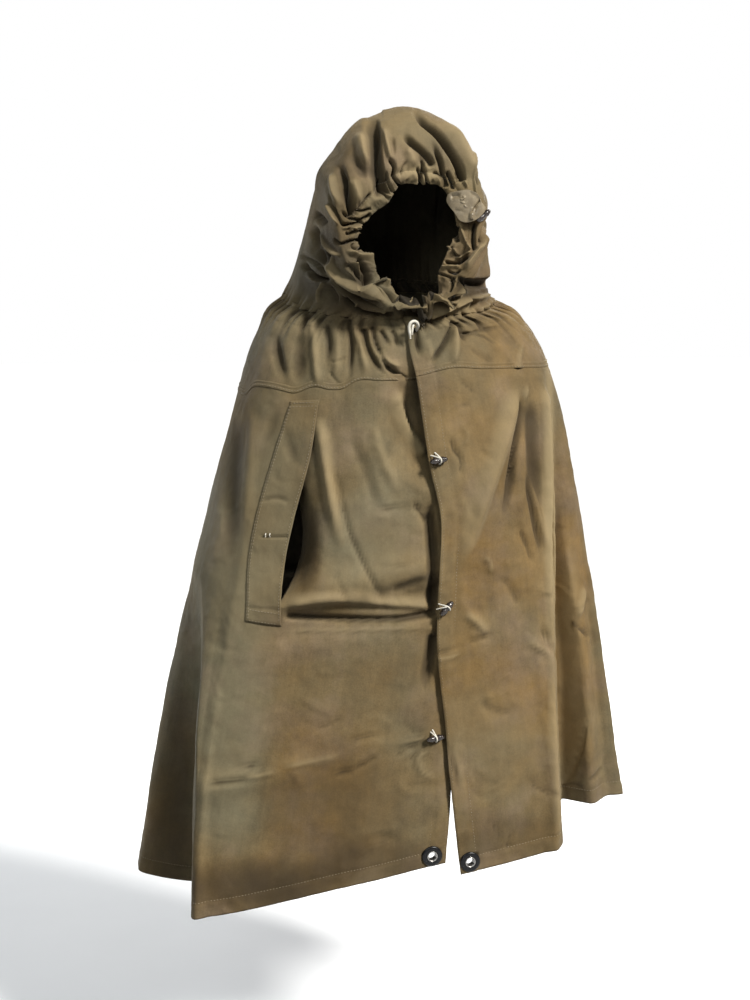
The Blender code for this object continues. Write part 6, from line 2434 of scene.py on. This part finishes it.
@dataclass
class Fastenings:
    """Toggles in their cord loops, the hem's eyelets and the free end of the neck drawcord."""

    wardrobe: Wardrobe
    cape: Cape
    toggle: Toggle = Toggle()
    eyelet: Eyelet = Eyelet()
    toggles: tuple[TogglePlace, ...] = rows(
        TogglePlace,
        ("toggle_top", 354.1, 0.262, 4.0, 1.0),
        ("toggle_middle", 351.6, 0.506, 40.0, 1.2),
        ("toggle_bottom", -5.9, 0.7355, 0.0, 0.5),
    )
    stand_off: float = 0.0074
    loop_radius: float = 0.0013
    loop_twist: Twist = Twist(12, 0.006)
    # Strands of a loop, as metres out of the cloth, up it and along the toggle, from the toggle's middle
    loop_over: Path = (
        (-0.0072, 0.0132, 0.0026),
        (-0.0036, 0.0108, 0.0014),
        (0.0010, 0.0070, -0.0006),
        (0.0050, 0.0030, -0.0024),
        (0.0058, -0.0008, -0.0026),
        (0.0036, -0.0046, -0.0014),
        (-0.0012, -0.0060, -0.0002),
        (-0.0048, -0.0040, 0.0004),
        (-0.0078, -0.0010, 0.0008),
    )
    loop_leg: Path = (
        (-0.0072, 0.0098, 0.0098),
        (-0.0040, 0.0086, 0.0072),
        (0.0006, 0.0064, 0.0034),
        (0.0040, 0.0044, 0.0002),
        (0.0050, 0.0036, -0.0014),
    )
    cord_radius: float = 0.0026
    cord_length: float = 0.060
    cord_twist: Twist = Twist(18, 0.011)
    worn_from: float = 0.82
    worn_thin: float = 0.5
    hitch_thin: float = 0.55
    # The drawcord's route from its exit, and the strand that its hitch holds, from the middle of the hitch
    cord_route: Path = (
        (0.0084, 0.0130, -0.0080),
        (0.0086, 0.0050, -0.0040),
        (0.0080, -0.0010, 0.0002),
        (0.0052, -0.0040, 0.0046),
        (0.0002, -0.0050, 0.0064),
        (-0.0048, -0.0046, 0.0040),
        (-0.0072, -0.0038, -0.0014),
        (-0.0068, -0.0032, -0.0080),
        (-0.0056, -0.0024, -0.0150),
        (-0.0046, -0.0012, -0.0215),
    )
    hitch_route: Path = (
        (0.0006, 0.0020, 0.0030),
        (-0.0002, -0.0016, 0.0000),
        (-0.0014, -0.0022, -0.0050),
        (-0.0018, -0.0014, -0.0105),
        (-0.0014, 0.0006, -0.0150),
    )

    def drawcord(self) -> None:
        """The neck drawcord: out of its casing, over in a hitch and down to a worn end."""
        middle = np.mean(np.array(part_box("drawcord_knot")), axis=0)
        strand = middle + smooth_path(self.hitch_route, steps=6)
        thin = np.linspace(1.0, self.hitch_thin, len(strand))
        parts = [self.cord_twist.tube(strand, self.cord_radius * thin)]
        hitch = joined("drawcord_hitch", parts, self.wardrobe.cord)
        dressed(hitch, Slot.CORD, "drawcord_knot")
        route = middle + smooth_path(self.cord_route, steps=4)
        down = np.linspace(0.0, 1.0, len(route))
        worn = 1.0 - self.worn_thin * eased((down - self.worn_from) / (1.0 - self.worn_from))
        parts = [self.cord_twist.tube(route, self.cord_radius * worn)]
        cord = joined("drawcord_tail", parts, self.wardrobe.cord)
        dressed(cord, Slot.CORD, "drawcord_end")
        LOG.info("drawcord: %.4f m", walk(route)[-1])

    def seat(self, turn: float, drop: float, lift: float = 0.0, tilt: float = 0.0
             ) -> tuple[Array, Array, Array]:
        """A place on the dressed cape.

        Args:
            turn: Degrees round the body.
            drop: Metres below the neck.
            lift: Metres out of the cloth.
            tilt: Degrees that the way along is turned up by.

        Returns:
            The point, the way along the cloth and the way out of it.
        """
        form = self.cape.form
        share, at, down = np.array([[self.cape.share(turn, drop)], [turn], [drop]])
        out = outward(form.point, at, down, 1.5, 0.012)[0]
        along = tilted(unit(form.point(at + 1.0, down) - form.point(at - 1.0, down))[0], out, tilt)
        return self.cape.surface(share, down)[0] + out * lift, along, out

    def looped_toggle(self, place: TogglePlace) -> None:
        """A toggle on a front edge, with the cord loop over its waist.

        Args:
            place: Where it sits.
        """
        point, along, out = self.seat(place.turn, place.drop, self.stand_off, place.tilt)
        matrix = seat_matrix(point, out, along)
        wood = joined(f"{place.name}_wood", [placed(self.toggle.mesh(), matrix)], self.wardrobe.wood)
        dressed(wood, Slot.WOOD, place.name)
        strands = []
        for route in (self.loop_over, self.loop_leg):
            path = smooth_path(route, (1.0, 1.0, place.lean), 6)
            strands.append(self.loop_twist.tube(moved(path, matrix), self.loop_radius))
        dressed(joined(f"{place.name}_cord", strands, self.wardrobe.cord), Slot.CORD, f"{place.name}_loop")

    def set_eyelet(self, place: EyeletPlace) -> None:
        """An eyelet in a corner of the hem.

        Args:
            place: Where it sits.
        """
        name = f"eyelet_{place.name}"
        point, along, out = self.seat(place.turn, place.drop)
        matrix = seat_matrix(point, along, out)
        bare, ring = (placed(turned(outline, self.eyelet.sides), matrix) for outline in self.eyelet.profile())
        dressed(joined(f"{name}_ring", [ring], self.wardrobe.metal), Slot.METAL, name)
        dressed(joined(f"{name}_lip", [bare], self.wardrobe.steel), Slot.METAL)

    def build(self) -> None:
        """Makes every fastening; the cord is made before."""
        for place in self.toggles:
            self.looped_toggle(place)
        for place in self.cape.eyelets:
            self.set_eyelet(place)


@dataclass
class HoodTab:
    """The leather tab on the hood's rim, and the toggle that lies behind it."""

    wardrobe: Wardrobe
    hood: Hood
    toggle: Toggle = Toggle()
    around: float = 62.0
    reach: float = 0.075
    bend: float = 0.060
    bend_share: float = 0.35
    thickness: float = 0.0022
    edge_round: float = 0.0006
    stand: float = 0.004
    # Corners of its outline, as metres across and up from its middle
    outline: Path = (
        (-0.0308, 0.0206), (-0.0356, 0.0095), (-0.0307, -0.0005), (-0.0225, -0.0112), (-0.0143, -0.0228),
        (-0.0030, -0.0262), (0.0100, -0.0225), (0.0196, -0.0153), (0.0262, -0.0050), (0.0218, 0.0036),
        (0.0180, 0.0120), (0.0120, 0.0200), (-0.0018, 0.0250), (-0.0160, 0.0235),
    )
    # Its fold, the lobe beside it, the boss round its hole and the ridges below that
    creases: tuple[Crease, ...] = creases(
        (((0.0180, 0.0130), (0.0080, -0.0020), (0.0020, -0.0130)), 1.8, 9, -9.5, 0.8, 0.2, 0.2),
        (((0.0100, -0.0020), (0.0060, -0.0130), (0.0050, -0.0220)), 7, 3, 4.5, 0.4, 0.3, 0.1),
        (((-0.0300, 0.0140), (-0.0200, 0.0160), (-0.0120, 0.0150)), 7, 7, -3.2, 0.3, 0.2, 0.3),
        (((-0.0110, 0.0130), (-0.0097, 0.0118), (-0.0084, 0.0106)), 6.2, 6.2, 2.2, 0.4, 0.0, 0.0),
        (((-0.0106, 0.0126), (-0.0097, 0.0118), (-0.0088, 0.0110)), 2.6, 2.6, -3, 0.6, 0.0, 0.0),
        (((-0.0128, 0.0072), (-0.0100, 0.0050), (-0.0066, 0.0040)), 1.8, 2.4, 1.2, 0.6, 0.2, 0.2),
        (((-0.0080, 0.0010), (-0.0056, -0.0014), (-0.0034, -0.0024)), 1.6, 2, 1, 0.6, 0.2, 0.2),
        (((-0.0260, -0.0060), (-0.0160, -0.0080), (-0.0040, -0.0110)), 6, 6, -1, 0.4),
        (((0.0020, 0.0240), (0.0130, 0.0200), (0.0180, 0.0110)), 6, 3, 2.2, 0.5, 0.2, 0.2),
    )
    toggle_turn: float = 83.0
    toggle_reach: float = 0.15
    toggle_tilt: float = -53.0

    def leaf(self) -> None:
        """The tab: a leaf of leather bent over the rim, folded at one side."""
        middle = np.mean(np.array(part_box("hood_tab")), axis=0)
        out = self.hood.form.out(np.array([self.around]), np.array([self.reach]))[0]
        steps = 8
        closed = smooth_path(self.outline[-2:] + self.outline + self.outline[:3], steps=steps)
        edge = closed[2 * steps:-2 * steps - 1]
        spread = edge * np.linspace(0.0, 1.0, 34)[:, None, None] ** 0.8
        across, up = spread[..., 0], spread[..., 1]
        bent = (across**2 + self.bend_share * up**2) / (2 * self.bend)
        height = crease_relief(self.creases, spread, 1.0) - bent
        local = np.concatenate((spread, height[..., None]), axis=-1).reshape(-1, 3)
        matrix = seat_matrix(middle + out * self.stand, np.cross((0.0, 0.0, 1.0), out), out)
        faces = grid_faces(*spread.shape[:2], ring=True)
        leaf = mesh_object("hood_tab_leather", moved(local, matrix), faces.tolist(), self.wardrobe.leather)
        shell(leaf, self.thickness)
        rounding = leaf.modifiers.new("rounded edge", "BEVEL")
        rounding.width = self.edge_round
        rounding.segments = 2
        rounding.limit_method = "ANGLE"
        dressed(leaf, Slot.LEATHER, "hood_tab")

    def hidden_toggle(self) -> None:
        """The toggle behind the tab, where its CAD node is."""
        middle = np.mean(np.array(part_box("hood_toggle")), axis=0)
        form = self.hood.form
        turn, reach = np.array([self.toggle_turn]), np.array([self.toggle_reach])
        out = form.out(turn, reach)[0]
        ahead = unit(form.section_point(turn + 2.0, reach) - form.section_point(turn - 2.0, reach))[0]
        matrix = seat_matrix(middle, out, tilted(ahead, out, self.toggle_tilt))
        piece = joined("hood_toggle_wood", [placed(self.toggle.mesh(), matrix)], self.wardrobe.wood)
        dressed(piece, Slot.WOOD, "hood_toggle")

    def build(self) -> None:
        """Makes the tab and its toggle."""
        self.leaf()
        self.hidden_toggle()


class Lamp(NamedTuple):
    """A square soft light: its place, its side, its power in watts and its colour."""

    name: str
    place: tuple[float, float, float]
    size: float
    power: float
    colour: tuple[float, float, float]


@dataclass
class Studio:
    """A pale floor, a white surround and soft light from the camera's right."""

    floor_z: float = -1.46
    floor_size: float = 60.0
    floor_dark: Colour = (0.90, 0.92, 0.955, 1.0)
    floor_light: Colour = (0.93, 0.95, 0.985, 1.0)
    aim: tuple[float, float, float] = (0.0, 0.0, -0.35)
    sun_power: float = 5.6
    sun_width: float = 12.0
    sun_azimuth: float = 36.0
    sun_height: float = 40.0
    sun_colour: tuple[float, float, float] = (1.0, 0.97, 0.91)
    lamps: tuple[Lamp, ...] = rows(
        Lamp,
        ("fill", (-1.7, -3.0, 1.5), 1.8, 46.0, (0.94, 1.0, 0.98)),
        ("back_right", (1.6, 3.0, 0.9), 1.8, 90.0, (1.0, 0.98, 0.95)),
        ("back_left", (-2.4, 2.4, 0.3), 1.8, 40.0, (0.96, 0.99, 1.0)),
    )
    shown_white: Colour = (1.0, 1.0, 1.0, 1.0)
    lit_white: Colour = (1.0, 0.99, 0.97, 1.0)
    lit_strength: float = 0.10

    def floor(self) -> None:
        """A pale floor, well below the hem as under a worn cape."""
        half = self.floor_size / 2
        spots = ((-half, -half), (half, -half), (half, half), (-half, half))
        corners = np.array([(x, y, self.floor_z) for x, y in spots])
        nodes = Nodes("pale_floor")
        grain = nodes.spread(nodes.noise(3.0, 3.0), 0.3, 0.7, 0.0, 1.0)
        base_colour = nodes.mix(grain, self.floor_dark, self.floor_light)
        material = nodes.finish({"Base Color": base_colour, "Roughness": 0.9})
        floor = mesh_object("floor", corners, [(0, 1, 2, 3)], material)
        floor.visible_diffuse = False

    def light(self, name: str, kind: str, power: float, colour: tuple[float, float, float], toward: Vector
              ) -> Piece:
        """Adds a light.

        Args:
            name: Its name.
            kind: Its kind.
            power: Its strength.
            colour: Its colour.
            toward: The way that it shines.

        Returns:
            The light.
        """
        lamp = bpy.data.objects.new(name, bpy.data.lights.new(name, kind))
        lamp.data.energy = power
        lamp.data.color = colour
        lamp.rotation_euler = toward.to_track_quat("-Z", "Y").to_euler()
        bpy.context.scene.collection.objects.link(lamp)
        return lamp

    def sun(self) -> None:
        """The key: broad light from high on the camera's right."""
        azimuth, height = math.radians(self.sun_azimuth), math.radians(self.sun_height)
        away = -Vector((math.sin(azimuth), -math.cos(azimuth), math.tan(height)))
        key = self.light("key", "SUN", self.sun_power, self.sun_colour, away)
        key.data.angle = math.radians(self.sun_width)

    def lamp(self, row: Lamp) -> None:
        """A square soft light that points at the poncho.

        Args:
            row: What it is like.
        """
        lamp = self.light(row.name, "AREA", row.power, row.colour, Vector(self.aim) - Vector(row.place))
        lamp.location = row.place
        lamp.data.shape = "SQUARE"
        lamp.data.size = row.size

    def surround(self) -> None:
        """A white world that shows bright and lights gently."""
        world = bpy.data.worlds.new("white_surround")
        bpy.context.scene.world = world
        world.use_nodes = True
        tree = world.node_tree
        shown = tree.nodes["Background"]
        shown.inputs["Color"].default_value = self.shown_white
        shown.inputs["Strength"].default_value = 1.0
        lit = tree.nodes.new("ShaderNodeBackground")
        lit.inputs["Color"].default_value = self.lit_white
        lit.inputs["Strength"].default_value = self.lit_strength
        rays = tree.nodes.new("ShaderNodeLightPath")
        choice = tree.nodes.new("ShaderNodeMixShader")
        tree.links.new(rays.outputs["Is Camera Ray"], choice.inputs[0])
        tree.links.new(lit.outputs[0], choice.inputs[1])
        tree.links.new(shown.outputs[0], choice.inputs[2])
        tree.links.new(choice.outputs[0], tree.nodes["World Output"].inputs["Surface"])

    def build(self) -> None:
        """Makes floor, surround and lights."""
        self.floor()
        self.surround()
        self.sun()
        for row in self.lamps:
            self.lamp(row)
        view = bpy.context.scene.view_settings
        view.view_transform = "Standard"
        view.look = "None"


def main() -> None:
    """Builds the poncho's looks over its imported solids."""
    logging.basicConfig(level=logging.INFO, format="%(name)s %(message)s")
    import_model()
    camera = PhotoCamera()
    camera.place()
    Studio().build()
    wardrobe = Wardrobe.make()
    drape = Drape(camera)
    cape = Cape(wardrobe, drape)
    hood = Hood(wardrobe, drape)
    fastenings = Fastenings(wardrobe, cape)
    fastenings.drawcord()
    cape.build()
    hood.build()
    fastenings.build()
    HoodTab(wardrobe, hood).build()


if __name__ == "__main__":
    main()
